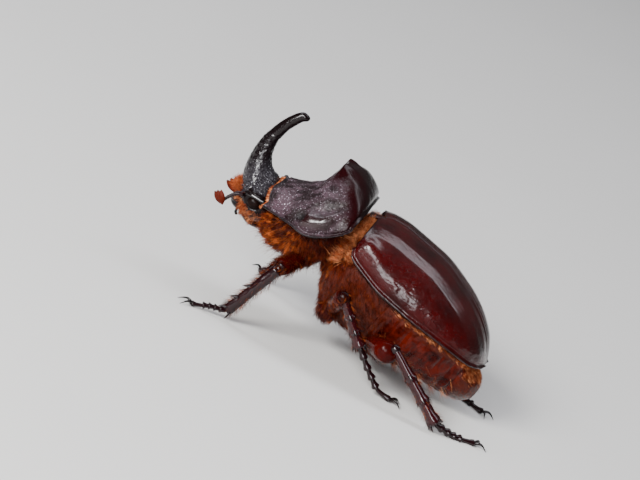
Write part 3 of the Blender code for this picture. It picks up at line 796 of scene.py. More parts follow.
def add_pronotum(look):
    """Fine wrinkles in the hollow and towards the front, a swelling over each side margin, and a
    raised bead round the edge."""
    stations = runs((0, 0.5, 62), (0.505, 0.68, 40), (0.69, 1, 46))
    along, across = np.meshgrid(stations, np.linspace(-1, 1, 271), indexing="ij")
    grid, in_hollow = pronotum_point(along, across)
    normals = grid_normals(grid)
    rear, front, right, left = edge_distances(grid)
    side = np.minimum(left, right)
    edge = np.minimum(side, np.minimum(rear, front))
    fore = grid[..., 0]
    middle = rise(fore, 1.5, 1.6) * fall(fore, 5.4, 0.7)
    fold = side - 1.5 - 0.3 * np.maximum(4.7 - fore, 0)
    swelling = middle * bump(fold, np.where(fold > 0, 1.55, 1.15))
    rugged = np.maximum(in_hollow, 0.8 * rise(along, 0.6, 0.3)) * (1 - 0.95 * swelling)
    rugged = np.maximum(rugged, 0.6 * smooth_step(1 - side / 0.7))
    height = 0.17 * bump(edge - 0.1, 0.12) - 0.16 * bump(edge - 0.42, 0.15)
    height += 0.62 * swelling - 0.22 * middle * bump(side - 0.6, 0.3) - 0.4 * middle * bump(fold - 2.0, 0.9)
    height -= 0.45 * bump(fore - 5.4, 0.55) * bump(side - 1.5, 0.6)
    height += 0.055 * rugged * lumps(grid, 0.3)
    height -= (0.02 + 0.06 * rugged) * pits(grid, 0.34)
    height += 0.06 * lumps(grid, 2.5, 2)
    grid = grid + normals * height[..., None]
    crest = bump(fore - RIDGE_FORE - 0.3, 0.9) * bump(grid[..., 1] / RIDGE_HALF_LENGTH, 1.3)
    part = shell(grid, normals, (PLATE * (1 - 0.85 * crest))[..., None])
    # Black along the raised bead round the edge, and painted shade in the dent at the front end of each
    # fold.
    rim = np.maximum(0.95 * bump(edge - 0.05, 0.2), bump(fore - 5.4, 0.6) * bump(side - 1.5, 0.55))
    shine = np.clip(0.35 * in_hollow * smooth_step(side - 1.2) + 1.1 * swelling, 0, 1)
    rugged, rim, shine = both_faces(part, rugged, 0), both_faces(part, rim, 1), both_faces(part, shine, 0)
    add_piece(
        "pronotum_plate", [part], look, "pronotum", "pronotum", rugged=rugged, margin=rim, shine=shine
    )


def add_wing_cases(look):
    """A stria beside the suture, low ribs, a bead along the outer edge and a bump behind."""
    for side, end in SIDES:
        stations = steps(181)[::-side]  # the other way on the left, to face out there too
        along, across = np.meshgrid(stations, steps(121), indexing="ij")
        grid = wing_point(along, across, side)
        normals = grid_normals(grid)
        first, last, inner, outer = edge_distances(grid)
        ends = np.minimum(first, last)
        inside = smooth_step(along / 0.08) * fall(along, 0.97, 0.1)
        height = -0.1 * bump(inner - 1.0, 0.12) * inside + 0.04 * bump(inner - 0.4, 0.3)
        for place in (2.4, 4.3, 6.2):
            height += 0.034 * bump(inner - place, 0.42) * inside
        height += 0.13 * bump(outer - 0.1, 0.14) - 0.13 * bump(outer - 0.5, 0.2)
        height += 0.05 * bump(ends - 0.08, 0.12)
        height += 0.16 * bump(along - 0.86, 0.06) * bump(across - 0.6, 0.18)
        beyond_callus = 0.3 + 0.7 * rise(along, 0.2, 0.1)
        height += 0.055 * beyond_callus * lumps(grid, 1.1, 2) * rise(across, 0.45, 0.3)
        depth = 0.025 + 0.035 * beyond_callus * rise(across, 0.5, 0.3)
        height -= depth * pits(grid, 0.34, 0.4)
        part = shell(grid + normals * height[..., None], normals, PLATE)
        rim = 0.9 * smooth_step(1 - np.minimum(np.minimum(outer, ends), inner + 0.15) / 0.35)
        dull = rise(across, 0.83, 0.1) * rise(outer, 0.4, 0.3)
        rim, dull = both_faces(part, rim, 1), both_faces(part, dull, 0)
        name = f"wing_case_{end}"
        add_piece(name, [part], look, "wing_case", f"elytron_{end}", margin=rim, dull=dull)


def add_scutellum(look):
    """The small pitted plate between the wing cases."""
    shape = spline((-2.6, 0.1, -0.72), (-1.6, 0.75, -1.1), (-0.4, 1.25, -1.6))
    fore = np.linspace(-2.6, -0.4, 30)
    half_width, top = shape(fore).T
    rings = body_rings(fore, (half_width, top, top - 0.2, top - 0.6), 32)
    rings = rings - ring_normals(rings) * (0.04 * pits(rings, 0.3))[..., None]
    add_piece("scutellum_plate", [loft(rings)], look, "wing_case", "scutellum", margin=0.1)


# ---- Head ----


def add_head(look):
    """The head capsule, with a dimple round each eye and a swelling over it."""
    stations = runs((8.7, 12.8, 90), (12.85, 13.5, 20))
    rings = body_rings(stations, head_shape(stations).T, 140)
    fore, left, up = np.moveaxis(rings, -1, 0)
    over_eye = -8.42 + 0.22 * (11.2 - fore)
    rugged = rise(up - over_eye, 0.25, 0.3)
    height = 0.06 * rugged * lumps(rings, 0.5) - 0.07 * rugged * pits(rings, 0.36)
    beside = fall(fore, 12.1, 0.8) * rise(fore, 9.0, 0.6)
    beside = beside * rise(abs(left), 1.5, 0.8)
    height += 0.4 * beside * bump(up - over_eye, np.where(up < over_eye, 0.14, 0.32))
    rings = rings + ring_normals(rings) * height[..., None]
    for side, _ in SIDES:
        far = np.linalg.norm((rings - EYE * (1, side, 1)) / (EYE_RADII + 0.14), axis=-1)
        rings[..., 1] -= side * 0.3 * fall(far, 1.1, 0.4) * (up < over_eye - 0.1)
    add_piece("head_capsule", [loft(rings)], look, "horn", "head", rugged=np.append(rugged, (1, 1)))


def add_brows(look):
    """A short glossy plate over each eye."""
    route = spline((0.0, 12.3, 2.95, -9.1), (0.4, 11.3, 3.6, -8.5), (1.0, 9.6, 3.85, -8.15))
    share = steps(50)
    for side, end in SIDES:
        path, facing = route(share) * (1, side, 1), (0.15, side * 0.8, 0.58)
        rings = path_rings(path, rounded(0.16, share, 0.3), 20, 2.4, facing)
        add_piece(f"brow_{end}", [loft(rings)], look, "horn", rugged=0)


def add_mouth(look):
    """A rounded lip and chin, and on each side a jaw and a palp of three joints."""
    mouth = [ellipsoid((12.0, 0, -11.35), (1.15, 1.5, 0.7)), ellipsoid((9.7, 0, -11.75), (1.5, 1.7, 0.75))]
    palp = spline((0.0, 11.7, 1.6, -11.6), (0.5, 11.6, 1.6, -12.0), (1.0, 11.3, 1.3, -12.3))
    share = steps(25)
    radii = rounded(0.17, share, 0.1) * (1 - 0.35 * bump((share * 3) % 1, 0.15))
    for side, _ in SIDES:
        mouth.append(ellipsoid((12.3, side * 1.1, -10.95), (0.95, 0.6, 0.45)))
        mouth.append(loft(path_rings(palp(share) * (1, side, 1), radii, 10)))
    add_piece("mouth", mouth, look, "horn", "mouthparts", rugged=0.1)


def add_horn(look):
    """Coarse pits at the base that fade up the horn, a blunt tip, and a base that spreads and
    sinks into the head."""
    share = runs((-0.12, 0.15, 34), (0.16, 0.94, 80))
    share = np.append(share, 0.94 + 0.06 * np.sin(np.linspace(0.05, 1, 14) * pi / 2))
    c, s = circle(64)
    rings = []
    for along in share:
        inside = max(along, 0.0)
        front, rear = horn_front(inside), horn_rear(inside)
        stout = 1 + 0.14 * bump(along - 0.45, 0.3) + 0.16 * rise(along, 0.5, 0.3)
        middle, reach = (front + rear) / 2, (front - rear) / 2 * stout
        dip = 0.6 * s * s * max(0.0, 1 - inside / 0.15) - min(along, 0.0) * 9
        spread = 0.3 * np.clip((0.1 - along) / 0.2, 0, 1) ** 2 * (1 - c) / 2
        close = np.sqrt(max(0.0, 1 - max(0.0, (along - 0.94) / 0.061) ** 2))
        fore = middle[0] + reach[0] * c * (1 + spread) * close
        up = middle[1] + reach[1] * c * (1 + spread) * close - dip
        left = max(horn_half_width(inside), 0.52) * s * (1 + spread) * close
        rings.append(np.stack([fore, left, up], -1))
    rings = np.array(rings)
    coarse = fall(share, 0.85, 0.5)[:, None] * np.ones(rings.shape[:2])
    rugged = np.clip(fall(share, 0.32, 0.3)[:, None] + 0.12 * coarse, 0, 1)
    height = coarse * (0.06 * lumps(rings, 0.5) - 0.15 * pits(rings, 0.42))
    height += 0.015 * lumps(rings, 0.3)
    part = loft(rings + ring_normals(rings) * height[..., None])
    add_piece("head_horn", [part], look, "horn", "horn", rugged=np.append(rugged, (1, 0)))


def add_eyes(look):
    for side, end in SIDES:
        part = ellipsoid((EYE - (0, 0.12, 0)) * (1, side, 1), EYE_RADII * 0.9, 48)
        add_piece(f"compound_eye_{end}", [part], look, "eye", f"eye_{end}")


def add_antennae(look, club_made):
    """A long first joint, a row of beads and a club of three plates."""
    route = spline(
        (0.0, 12.2, 3.2, -9.35), (0.35, 12.85, 3.45, -9.8), (0.6, 13.15, 3.62, -10.35),
        (0.8, 13.35, 3.7, -10.85), (1.0, 13.5, 3.78, -11.35),
    )
    share = steps(70)
    beads = np.where(share > 0.4, 0.72 + 0.28 * abs(np.sin((share - 0.4) / 0.6 * 6 * pi)), 1.0)
    radii = (0.29 - 0.06 * share) * beads * rounded(1.0, share, 0.05)
    along = steps(30)[:, None]
    width = 0.5 * np.sin(np.clip(along[:, 0], 0.015, 0.985) * pi) ** 0.7
    for side, end in SIDES:
        stalk = loft(path_rings(route(share) * (1, side, 1), radii, 14))
        add_piece(f"feeler_{end}", [stalk], look, "leg", f"antenna_{end}", margin=0.7)
        plates = []
        for k, fan in enumerate((-0.24, 0.02, 0.3)):
            angle = CLUB_TILT + fan
            way = np.array((cos(angle), side * 0.08 * (k - 1), sin(angle)))
            root = np.array((13.2, side * (3.62 + 0.2 * k), -11.8))
            path = root + way * 1.82 * along + np.array((0, side, 0)) * 0.18 * np.sin(along * pi)
            plates.append(loft(path_rings(path, width * 0.36, 24, 2.3, upright=(0, 1, 0))))
        add_piece(f"feeler_club_{end}", plates, club_made, "antenna_club", f"antenna_club_{end}")


# ---- Underside ----

SEGMENT_LENGTH = 1.62
GROOVE_FORE = -19.4  # where one of the abdomen's grooves lies


def skin_rings():
    """The body inside its coat, with grooves between the rings of the abdomen."""
    stations = runs((-23.62, -22.6, 22), (-22.5, 9.3, 250))
    half_width, top, waist, bottom = body_shape(stations).T
    depth = COAT * rise(half_width, 0.4, 2.4) * np.where(stations < -9, 0.45, 1)
    rings = body_rings(stations, (half_width - depth, top - depth, waist, bottom + depth), 140)
    fore, up = rings[..., 0], rings[..., 2]
    phase = (fore - GROOVE_FORE) / SEGMENT_LENGTH
    from_groove = (phase - np.round(phase)) * SEGMENT_LENGTH
    banded = fall(fore, -9.3, 0.6) * rise(fore, -21.5, 1.0)
    step = -0.16 * bump(from_groove, 0.16) + 0.07 * bump(from_groove + 0.5, 0.5)
    height = banded * step * fall(up, -6.3, 0.5) * (0.6 + 0.8 * lumps(rings, 2.0, 2))
    height += 0.09 * banded * lumps(rings, 0.8, 2)
    height += -0.25 * bump(fore + 20.6, 0.18) * fall(up, -6.8, 1.0)
    height += 0.04 * lumps(rings, 0.9, 2)
    return rings + ring_normals(rings) * height[..., None]


def cover_at(fore):
    """The up of the lower edge of the plates over the body's side."""
    shares = steps(60)
    neck, wing = pronotum_edge(shares), wing_edge(shares)
    under_neck = np.interp(fore, neck[:, 0], neck[:, 2])
    under_wing = np.interp(-fore, -wing[:, 0], wing[:, 2])
    return np.where(fore > -0.8, under_neck, under_wing)


def add_skin(rings, look):
    """Furred on the thorax, along the sides and over the tail, clear at its tip and thin along the
    wing cases."""
    fore, up = rings[..., 0], rings[..., 2]
    thorax = rise(fore, -10.5, 1.5)
    over_tail = fall(fore, -20.3, 1.0) * rise(up, -10.2, 0.8)
    fur = np.maximum(np.maximum(thorax, over_tail), rise(up, -7.6, 0.5))
    clear = fall(fore, -21.0, 0.8) * fall(up, -9.5, 0.9)
    thin = rise(up - cover_at(fore), -1.3, 0.9) * fall(fore, -8.6, 0.8)
    thin = thin * rise(lumps(rings, 1.1, 2), -0.35, 0.5)
    fur, clear, thin = np.append(fur, (1, 1)), np.append(clear, (0, 1)), np.append(thin, (0, 0))
    nodes = ("prothorax", "pterothorax", "abdomen", "tail_segment")
    part = loft(rings)
    add_piece("body_skin", [part], look, "underside", *nodes, fur=fur, clear=clear, thin=thin)


def add_body_coat(rings, look, pale_look):
    """On each side a shaggy coat on the thorax and a short one on the abdomen, and a pale one in the
    gap behind the pronotum."""
    rng = np.random.default_rng(11)
    fore, left, up = np.moveaxis(cell_centres(rings), -1, 0)
    cover = cover_at(fore)
    open_below = fall(up, cover + 0.3, 0.5)
    thorax = open_below * rise(fore, -10.4, 1.2) * fall(fore, 8.9, 0.6)
    front = thorax * rise(fore, -0.9, 0.8)
    rear = thorax * (fore < -0.2)
    collar = bump(up - cover + 0.3, 0.3) * bump(fore + 2.2, 0.65) * (fore < -1.2)
    flank = rise(up - cover, -1.0, 0.6) * open_below * fall(fore, -9.5, 1.0)
    phase = (fore - GROOVE_FORE) / SEGMENT_LENGTH
    row = bump((phase - np.floor(phase) - 0.45) * SEGMENT_LENGTH, 0.16)
    belly = fall(up, -8.6, 0.8) * fall(fore, -9.6, 0.6) * (fore > -20.9)
    belly = belly * row * (0.15 + fall(up, -11.2, 0.8))
    tail = fall(fore, -20.6, 0.5) * (0.02 + 0.7 * rise(up, -8.3, 0.6))

    def front_bright(roots):
        """More towards the head, at the throat and beside the gap behind the pronotum."""
        fore = roots[:, 0]
        bright = 0.1 + 0.5 * rise(fore, 3.0, 2.5) + 0.3 * bump(fore + 0.3, 0.8)
        return bright + 0.6 * bump(fore - 4.0, 0.8) * bump(roots[:, 2] + 9.8, 1.1)

    def rear_bright(roots):
        return 0.08 + 0.3 * rise(roots[:, 0], -2.2, 1.6)

    def tail_bright(roots):
        return 0.1 + 0.4 * rise(roots[:, 2], -9.2, 0.8)

    for side, end in SIDES:

        def front_lie(roots):
            """Down and back, and down and ahead beside the head."""
            ahead = rise(roots[:, 0], 2.5, 4.0)[:, None]
            return ahead * (1.5, 0, 0) + (-0.75, side * 0.15, -0.9)

        # Both sides' coats reach a little over the middle of the belly.
        own, across_middle, belly_side = (side * left > edge for edge in (0, -0.2, -0.1))
        shaggy = [
            tufts(rings, 6200, front * across_middle, rng, front_lie, (0.3, 0.95), (0.7, 1.6),
                  width=0.04, bright=front_bright, mess=0.3, hold=0.7, per_tuft=8),
            tufts(rings, 320, front * across_middle, rng, front_lie, (0.8, 1.4), (1.6, 2.5),
                  width=0.024, bright=0.35, mess=0.3, hold=0.15, per_tuft=3),
            tufts(rings, 3200, rear * across_middle, rng, (-0.7, side * 0.1, -0.8), (0.12, 0.45),
                  (0.6, 1.3), width=0.036, bright=rear_bright, mess=0.26),
        ]
        add_coat(f"thorax_coat_{end}", look, shaggy, 21 + side)
        # The first batch is the pale collar at the base of the wing cases.
        short = [
            tufts(rings, 420, collar * own, rng, (0.05, 0, -0.4), (0.9, 1.3), (0.8, 1.25),
                  width=0.036, bright=0.7, mess=0.3, hold=0.3),
            tufts(rings, 2600, flank * own, rng, (-0.8, 0, -0.45), (0.2, 0.5), (0.35, 0.6),
                  width=0.045, bright=0.45, sag=0.03, mess=0.2),
            tufts(rings, 320, belly * belly_side, rng, (-0.8, 0, -0.5), (0.4, 0.8), (1.1, 1.9),
                  width=0.022, bright=1.0, sag=0.05, per_tuft=4, hold=0.1),
            tufts(rings, 1300, tail * belly_side, rng, (-0.9, 0, -0.35), (0.15, 0.4), (0.35, 0.7),
                  width=0.026, bright=tail_bright, sag=0.02, per_tuft=4, hold=0.2),
        ]
        add_coat(f"abdomen_coat_{end}", pale_look, short, 31 + side)

    gap = bump(fore + 0.75, 0.8) * rise(up, -7.5, 1.0)
    upright = tufts(rings, 7500, gap, rng, (-0.7, 0, 0.1), (0.8, 1.3), (1.3, 2.2),
                    width=0.055, bright=0.75, sag=-0.05, mess=0.16)
    add_coat("neck_coat", pale_look, [upright], 41)


def add_fringes(look):
    """The orange fringe along the pronotum's front edge and the tufts round the mouth."""
    rng = np.random.default_rng(12)
    across = np.sort(rng.uniform(-1, 1, 2600))
    share = 1 - rng.uniform(0.0, 0.006, len(across))
    points, _ = pronotum_point(share, across)
    inner, _ = pronotum_point(share - 0.05, across)
    roots = points + np.array((0, 0, -1)) * rng.uniform(0.1, 0.4, len(across))[:, None]
    ways = unit(unit(points - inner) + np.array((0.35, 0, -0.25)))
    lengths = rng.uniform(0.25, 0.48, len(across))
    places = np.stack([(across + 1) / 2, share], -1)
    edge = (roots, ways, lengths, places, {"bright": 0.7, "sag": 0.04, "mess": 0.14})

    stations = np.linspace(9.2, 13.45, 50)
    rings = body_rings(stations, head_shape(stations).T, 64)
    fore, _, up = np.moveaxis(cell_centres(rings), -1, 0)
    lip = rise(fore, 12.4, 0.6) * rise(up, -9.9, 0.3)
    mouth = (0.3 + rise(fore, 10.4, 1.0)) * fall(up, -9.9, 0.4)
    batches = [
        edge,
        tufts(rings, 2600, lip, rng, (1, 0, 0.1), (0.2, 0.9), (0.7, 1.5),
              width=0.036, bright=0.15, sag=0.05, mess=0.45, hold=0.45),
        tufts(rings, 2600, mouth, rng, (0.35, 0, -0.8), (0.3, 1.1), (0.5, 1.3),
              width=0.04, bright=0.35, sag=0.1, mess=0.4, hold=0.8),
    ]
    add_coat("head_fringe", look, batches, 51)


# ---- Legs ----

femur_profile = spline(
    (0.0, 0.45, 0.4), (0.12, 0.75, 0.6), (0.45, 1.0, 0.8), (0.78, 1.03, 0.92),
    (0.88, 0.95, 0.86), (0.95, 0.74, 0.68), (0.985, 0.45, 0.42), (1.0, 0.1, 0.09),
)


def limb_frame(start, end, outward):
    """The unit axis, outward and flat directions of a straight limb."""
    axis = unit(end - start)
    outward = unit(outward - axis * np.dot(outward, axis))
    return axis, outward, np.cross(axis, outward)


def limb_rings(start, end, outward, share, widths, thicks, count, keels=0.0):
    """Rings of a straight limb, whose section has three blunt keels."""
    _, outward, flat = limb_frame(start, end, outward)
    c, s = circle(count)
    keel = 1 + keels * np.cos(3 * np.arange(count) / count * 2 * pi)
    middle = start + (end - start) * share[:, None]
    wide = widths[:, None, None] * (outward * (c * keel)[:, None])
    thick = thicks[:, None, None] * (flat * (s * keel)[:, None])
    return middle[:, None] + wide + thick


def tarsus_path(ankle, toe):
    """From the ankle down to the floor, along it, and on to the toe."""
    end = np.array((*toe, floor_at(toe[0]) + TARSUS_LIFT))
    landing, near_end = ankle + (end - ankle) * 0.5, ankle + (end - ankle) * 0.78
    landing[2] = 0.45 * ankle[2] + 0.55 * (floor_at(landing[0]) + TARSUS_LIFT)
    near_end[2] = 0.12 * ankle[2] + 0.88 * (floor_at(near_end[0]) + TARSUS_LIFT)
    return spline((0.0, *ankle), (0.5, *landing), (0.78, *near_end), (1.0, *end))


def tibia_parts(kind, start, end, outward, sizes):
    """The shaft, its teeth and its spurs, with the shaft first, and the shaft's rings."""
    axis, out, flat = limb_frame(start, end, outward)
    half = sizes["tibia"]
    share = steps(90)
    if kind == "fore":
        width = spline((0.0, 0.55), (0.05, 0.8), (0.3, 0.82), (0.6, 0.76), (0.93, 0.84), (1.0, 0.45))
        thick = spline((0.0, 0.5), (0.05, 0.76), (0.3, 0.72), (0.6, 0.6), (0.95, 0.5), (1.0, 0.3))
        teeth, slant, keels = (0.5, 0.74, 0.96), 0.55, 0.02
        swellings, crowns = (), ()
        spurs = ((-0.7, 1.0),)
    else:
        width = spline((0.0, 0.45), (0.05, 0.62), (0.4, 0.84), (0.85, 0.98), (0.96, 1.22), (1.0, 1.05))
        thick = spline((0.0, 0.45), (0.05, 0.6), (0.4, 0.76), (0.85, 0.88), (0.96, 1.12), (1.0, 0.95))
        teeth, slant, keels = (0.38, 0.68), 1.0, 0.09
        swellings, crowns = teeth, ((0.38, 5, 0.4), (0.68, 7, 0.5), (0.97, 14, 0.5))
        spurs = ((0.6, 1.0), (-0.6, 1.5))
    widths, thicks = half * width(share), half * thick(share)
    for at in swellings:
        widths = widths + half * 0.2 * bump(share - at, 0.03)
        thicks = thicks + half * 0.2 * bump(share - at, 0.03)
    rings = limb_rings(start, end, outward, share, widths, thicks, 30, keels)
    rings = rings + ring_normals(rings) * (0.03 * lumps(rings, 1.2, 2))[..., None]
    parts = [loft(rings)]
    for at in teeth:
        reach = np.interp(at, share, widths) * 0.7
        root = start + (end - start) * (at - 0.02) + out * reach
        parts.append(spike(root, out + axis * slant, sizes["tooth"], 0.34, axis * 0.25, 10, 0.7, flat))
    for at, many, tall in crowns:
        across = np.interp(at, share, widths), np.interp(at, share, thicks)
        for angle in np.linspace(0, 2 * pi, many, endpoint=False) + 0.35:
            way = out * cos(angle) * across[0] + flat * sin(angle) * across[1]
            root = start + (end - start) * at + way * 0.86
            parts.append(spike(root, unit(way) * 0.5 + axis, tall, 0.09, count=6))
    near_end = thicks[-8]
    for where, tall in spurs:
        root = end - axis * 0.25 + flat * where * near_end - out * 0.3 * half
        parts.append(spike(root, axis + flat * where * 0.25 - out * 0.2, tall, 0.15, out * 0.15))
    return [(on_floor(points), blocks) for points, blocks in parts], rings


def tarsus_parts(path, half_width):
    """Five joints, each flared at its end, with a few bristles."""
    short = spline((0.0, 0.42), (0.1, 0.62), (0.5, 0.78), (0.85, 1.12), (0.95, 1.02), (1.0, 0.4))
    long = spline((0.0, 0.4), (0.15, 0.55), (0.6, 0.66), (0.9, 0.95), (1.0, 0.4))
    share = steps(22)
    ends = (0.0, 0.2, 0.37, 0.53, 0.68, 1.0)
    parts = []
    for a, b, shape in zip(ends, ends[1:], (short, short, short, short, long)):
        centre = path(a - 0.012 + (b - a + 0.02) * share)
        rings = path_rings(centre, half_width * shape(share), 16, 1.1)
        parts.append(loft(on_floor(rings)))
        way = unit(centre[-1] - centre[-4])
        level = unit(np.cross(way, (0, 0, 1)))
        for turn in (-1, -0.4, 0.4, 1):
            root = centre[-4] + level * half_width * 0.8 * turn
            points, blocks = spike(root, way + level * 0.6 * turn, 0.5, 0.035, count=5)
            parts.append((on_floor(points), blocks))
    return parts


def claw_parts(path):
    """Two curved claws that spread from the last joint, and the bristle between them."""
    toe = path(1.0)
    way = toe - path(0.9)
    way[2] = -tan(PITCH) * way[0]
    way = unit(way)
    level = np.cross(way, (0, 0, 1))
    root = toe - way * 0.1
    parts = []
    for side, _ in SIDES:
        share = steps(26)
        spread, ahead = 0.95 * share, 0.1 + 1.45 * share**1.3
        line = root + level * (side * spread)[:, None] + way * ahead[:, None]
        line[:, 2] = floor_at(line[:, 0]) + TARSUS_LIFT + 0.42 * np.sin(share * pi) ** 1.2 - 0.24 * share
        radii = 0.17 * (1 - share**1.6) + 0.02
        parts.append(loft(on_floor(path_rings(line, radii, 12))))
    parts.append(spike(toe, way + np.array((0, 0, 0.1)), 0.75, 0.07, count=8))
    return parts


def add_leg(name, number, look, thigh_look, claw_look, coat_look):
    """One leg: a hip, a thigh, a shin with its teeth, a jointed foot, two claws, and their hair."""
    kind, end = name.split("_")
    side = 1 if end == "l" else -1
    fore, hind = kind == "fore", kind == "hind"
    sizes = LEG_SIZES[kind]
    coxa, knee, ankle, toe = (np.array(joint, float) for joint in LEGS[name])
    femur_way, shank_way = unit(knee - coxa), unit(ankle - knee)

    hip_rings = ball_rings(coxa, (sizes["coxa"] * 0.94,) * 3, 40)
    add_piece(f"hip_{name}", [loft(hip_rings)], thigh_look, "leg", f"coxa_{name}", margin=0.6)

    share = steps(60)
    bulk = sizes["femur"] * sizes["lean"]
    widths, thicks = bulk * femur_profile(share).T
    start = coxa + femur_way * (sizes["coxa"] - 0.5)
    tip = knee + femur_way * (0.2 if fore else 0.6) - np.array((0, 0, 0.5)) * hind
    thigh_rings = limb_rings(start, tip, (1, 0, 0), share, widths, thicks, 40)
    dark_end = 0.35 if hind else 0.9
    dark = dark_end * rise(np.repeat(share, 40), 0.88, 0.08)
    dark = np.append(dark, (0.2, dark_end))
    add_piece(f"thigh_{name}", [loft(thigh_rings)], thigh_look, "leg", f"femur_{name}", margin=dark)

    outer = np.array((1, side * 0.5, 0) if fore else (0, side, 0.3))
    start = knee + shank_way * 0.05 + np.array((-0.3, 0, 0.4)) * hind
    parts, shin_rings = tibia_parts(kind, start, ankle, outer, sizes)
    parts.append(ellipsoid(start, (bulk * 0.4,) * 3, 28))
    counts = [len(points) for points, _ in parts]
    dark = np.repeat((0.7 if fore else 0.25, 0.9, 0.8), (counts[0], sum(counts[1:-1]), counts[-1]))
    add_piece(f"shin_{name}", parts, look, "leg", f"tibia_{name}", margin=dark)

    foot_way = unit(np.array((*toe, floor_at(toe[0]))) - ankle)
    path = tarsus_path(ankle - shank_way * 0.1 + foot_way * 0.1, toe)
    parts = tarsus_parts(path, sizes["tarsus"])
    add_piece(f"foot_{name}", parts, look, "leg", f"tarsus_{name}", margin=0.8)
    add_piece(f"claw_pair_{name}", claw_parts(path), claw_look, "horn", f"claws_{name}", rugged=0)

    ways = femur_way, shank_way
    batches = leg_hair(kind, side, hip_rings, thigh_rings, shin_rings, ways, 100 + number)
    add_coat(f"leg_coat_{name}", coat_look, batches, 200 + number)


def leg_hair(kind, side, hip_rings, thigh_rings, shin_rings, ways, seed):
    """Hair on the coxa and femur, rows of bristles along both edges of the tibia. Each has its band
    of the unwrap."""
    rng = np.random.default_rng(seed)
    fore = kind == "fore"
    femur_way, shank_way = ways
    hip = tufts(hip_rings, 700, 1, rng, (-0.4, side * 0.4, -1.0), (0.15, 0.5), (0.5, 1.0),
                (0, 0.3), width=0.036, sag=0.06, mess=0.22)

    points = cell_centres(thigh_rings)
    far = (points - points[0, 0]) @ femur_way
    reach = 5.5 if kind == "hind" else 9.0
    on_thigh = rise(far, 0, 0.5) * fall(far, reach, 1.5)
    down = np.array((0.25 if fore else -0.4, side * 0.5, -1.0))
    lie = femur_way * 0.8 + down * 0.6
    count = 1300 if kind == "mid" else 900
    lift, length, width = ((0.3, 0.8), (0.6, 1.1), 0.038) if fore else ((0.2, 0.5), (0.35, 0.8), 0.03)
    thigh = tufts(thigh_rings, count, on_thigh, rng, lie, lift, length, (0.33, 0.3),
                  width=width, bright=0.3, sag=0.08, mess=0.22)

    points = cell_centres(shin_rings)
    middle = points.mean(1, keepdims=True)
    out = unit(points - middle)
    on_edge = abs(out @ unit(np.cross(shank_way, (1.0, 0.2 * side, 0)))) < 0.35
    on_shin = (0.06 + on_edge) * smooth_step(np.linalg.norm(middle - middle[0], axis=-1))
    count, length = (520, (0.5, 1.15)) if fore else (180, (0.4, 0.85))
    shin = tufts(shin_rings, count, on_shin, rng, shank_way, (0.45, 0.95), length, (0.66, 0.3),
                 width=0.03, bright=0.45, sag=0.03, mess=0.2, hold=0.2)
    return [hip, thigh, shin]


# ---- Floor, lights and camera ----


def add_floor():
    mesh = bpy.data.meshes.new("floor")
    reach = 4.0
    corners = [(x * reach, y * reach, 0) for x, y in ((-1, -1), (1, -1), (1, 1), (-1, 1))]
    mesh.from_pydata(corners, [], [(0, 1, 2, 3)])
    mesh.materials.append(floor_look())
    add_object("floor", mesh)


VIEW_RISE = radians(15.5)  # the camera over the beetle's own level
VIEW_ROLL = radians(41.6)  # how far the beetle climbs in the picture
FIELD = 74.4  # millimetres across the picture
LENS = 200.0
SENSOR = 36.0
AIM = (1.95, 4.0, -7.14)  # what is in the middle of the picture
LIT_POINT = (-4.0, 0.0, -7.0)  # what the lights face

side_up = np.array((0, -sin(VIEW_RISE), cos(VIEW_RISE)))
to_camera = turned((0, cos(VIEW_RISE), sin(VIEW_RISE)))
picture_right = turned(np.array((-cos(VIEW_ROLL), 0, 0)) + sin(VIEW_ROLL) * side_up)
picture_up = turned(np.array((sin(VIEW_ROLL), 0, 0)) + cos(VIEW_ROLL) * side_up)


def add_camera():
    data = bpy.data.cameras.new("camera")
    data.lens = LENS
    data.sensor_width = SENSOR
    data.clip_start = 0.01
    camera = add_object("camera", data)
    turn = Matrix([picture_right, picture_up, to_camera]).transposed().to_4x4()
    distance = FIELD * MM * LENS / SENSOR
    spot = placed(AIM) + to_camera * distance
    camera.matrix_world = Matrix.Translation(spot) @ turn
    bpy.context.scene.camera = camera


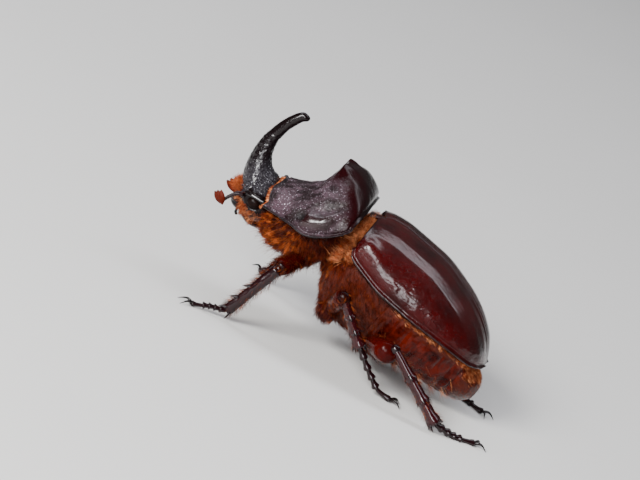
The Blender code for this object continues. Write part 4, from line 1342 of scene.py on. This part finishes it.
def add_light(name, way, distance, length, width, radiance, colour):
    """A soft box that faces the beetle from that way of its own frame, long along its body."""
    data = bpy.data.lights.new(name, "AREA")
    data.shape = "RECTANGLE"
    data.size, data.size_y = length, width
    data.energy = radiance * pi * length * width
    data.color = colour
    light = add_object(name, data)
    way, body = Vector(turned(unit(way))), Vector(turned((1, 0, 0)))
    along = (body - way * body.dot(way)).normalized()
    turn = Matrix([along, way.cross(along), way]).transposed().to_4x4()
    centre = Vector(placed(LIT_POINT))
    light.matrix_world = Matrix.Translation(centre + way * distance) @ turn


def add_lights():
    """Long soft boxes over the back and beside the body, and a small one that glints."""
    add_light("back", (0.3, -0.42, 0.95), 0.5, 0.9, 0.12, 6.5, (0.93, 0.93, 1.0))
    add_light("side", (0.22, 0.94, 0.33), 0.5, 0.36, 0.16, 17.0, (0.98, 0.97, 1.0))
    add_light("key", (0.62, 0.78, 0.42), 0.5, 0.16, 0.16, 46.0, (1.0, 0.99, 0.97))
    world = bpy.data.worlds.new("studio")
    world.use_nodes = True
    world.node_tree.nodes["Background"].inputs["Color"].default_value = (0.8, 0.85, 0.85, 1)
    world.node_tree.nodes["Background"].inputs["Strength"].default_value = 0.12
    bpy.context.scene.world = world


def main():
    wing_made, head_made = wing_case_look(), horn_look("head_chitin", 0.2)
    horn_made = horn_look("horn_chitin", 0.35)
    leg_made = leg_look("leg_chitin", (0.008, 0.0008, 0.0018), (0.045, 0.0016, 0.0034), 0.7)
    thigh_made = leg_look("thigh_chitin", (0.018, 0.0004, 0.0002), (0.07, 0.0022, 0.0006), 0.07)
    coat = hair_look("coat_hair", (0.015, 0.0007, 0.0003), (0.155, 0.012, 0.0025), (0.56, 0.12, 0.022))
    pale = hair_look("pale_hair", (0.1, 0.008, 0.0016), (0.5, 0.09, 0.015), (0.9, 0.36, 0.15))
    leg_coat = hair_look("leg_hair", (0.016, 0.0008, 0.0004), (0.11, 0.008, 0.0025), (0.5, 0.11, 0.02))
    add_pronotum(pronotum_look())
    add_wing_cases(wing_made)
    add_scutellum(wing_made)
    add_head(head_made)
    add_brows(horn_look("brow_chitin", 1.0))
    add_mouth(head_made)
    add_horn(horn_made)
    add_eyes(eye_look())
    add_antennae(leg_made, club_look())
    rings = skin_rings()
    add_skin(rings, skin_look())
    add_body_coat(rings, coat, pale)
    add_fringes(pale)
    for number, name in enumerate(LEGS):
        add_leg(name, number, leg_made, thigh_made, horn_made, leg_coat)
    add_floor()
    add_camera()
    add_lights()


main()
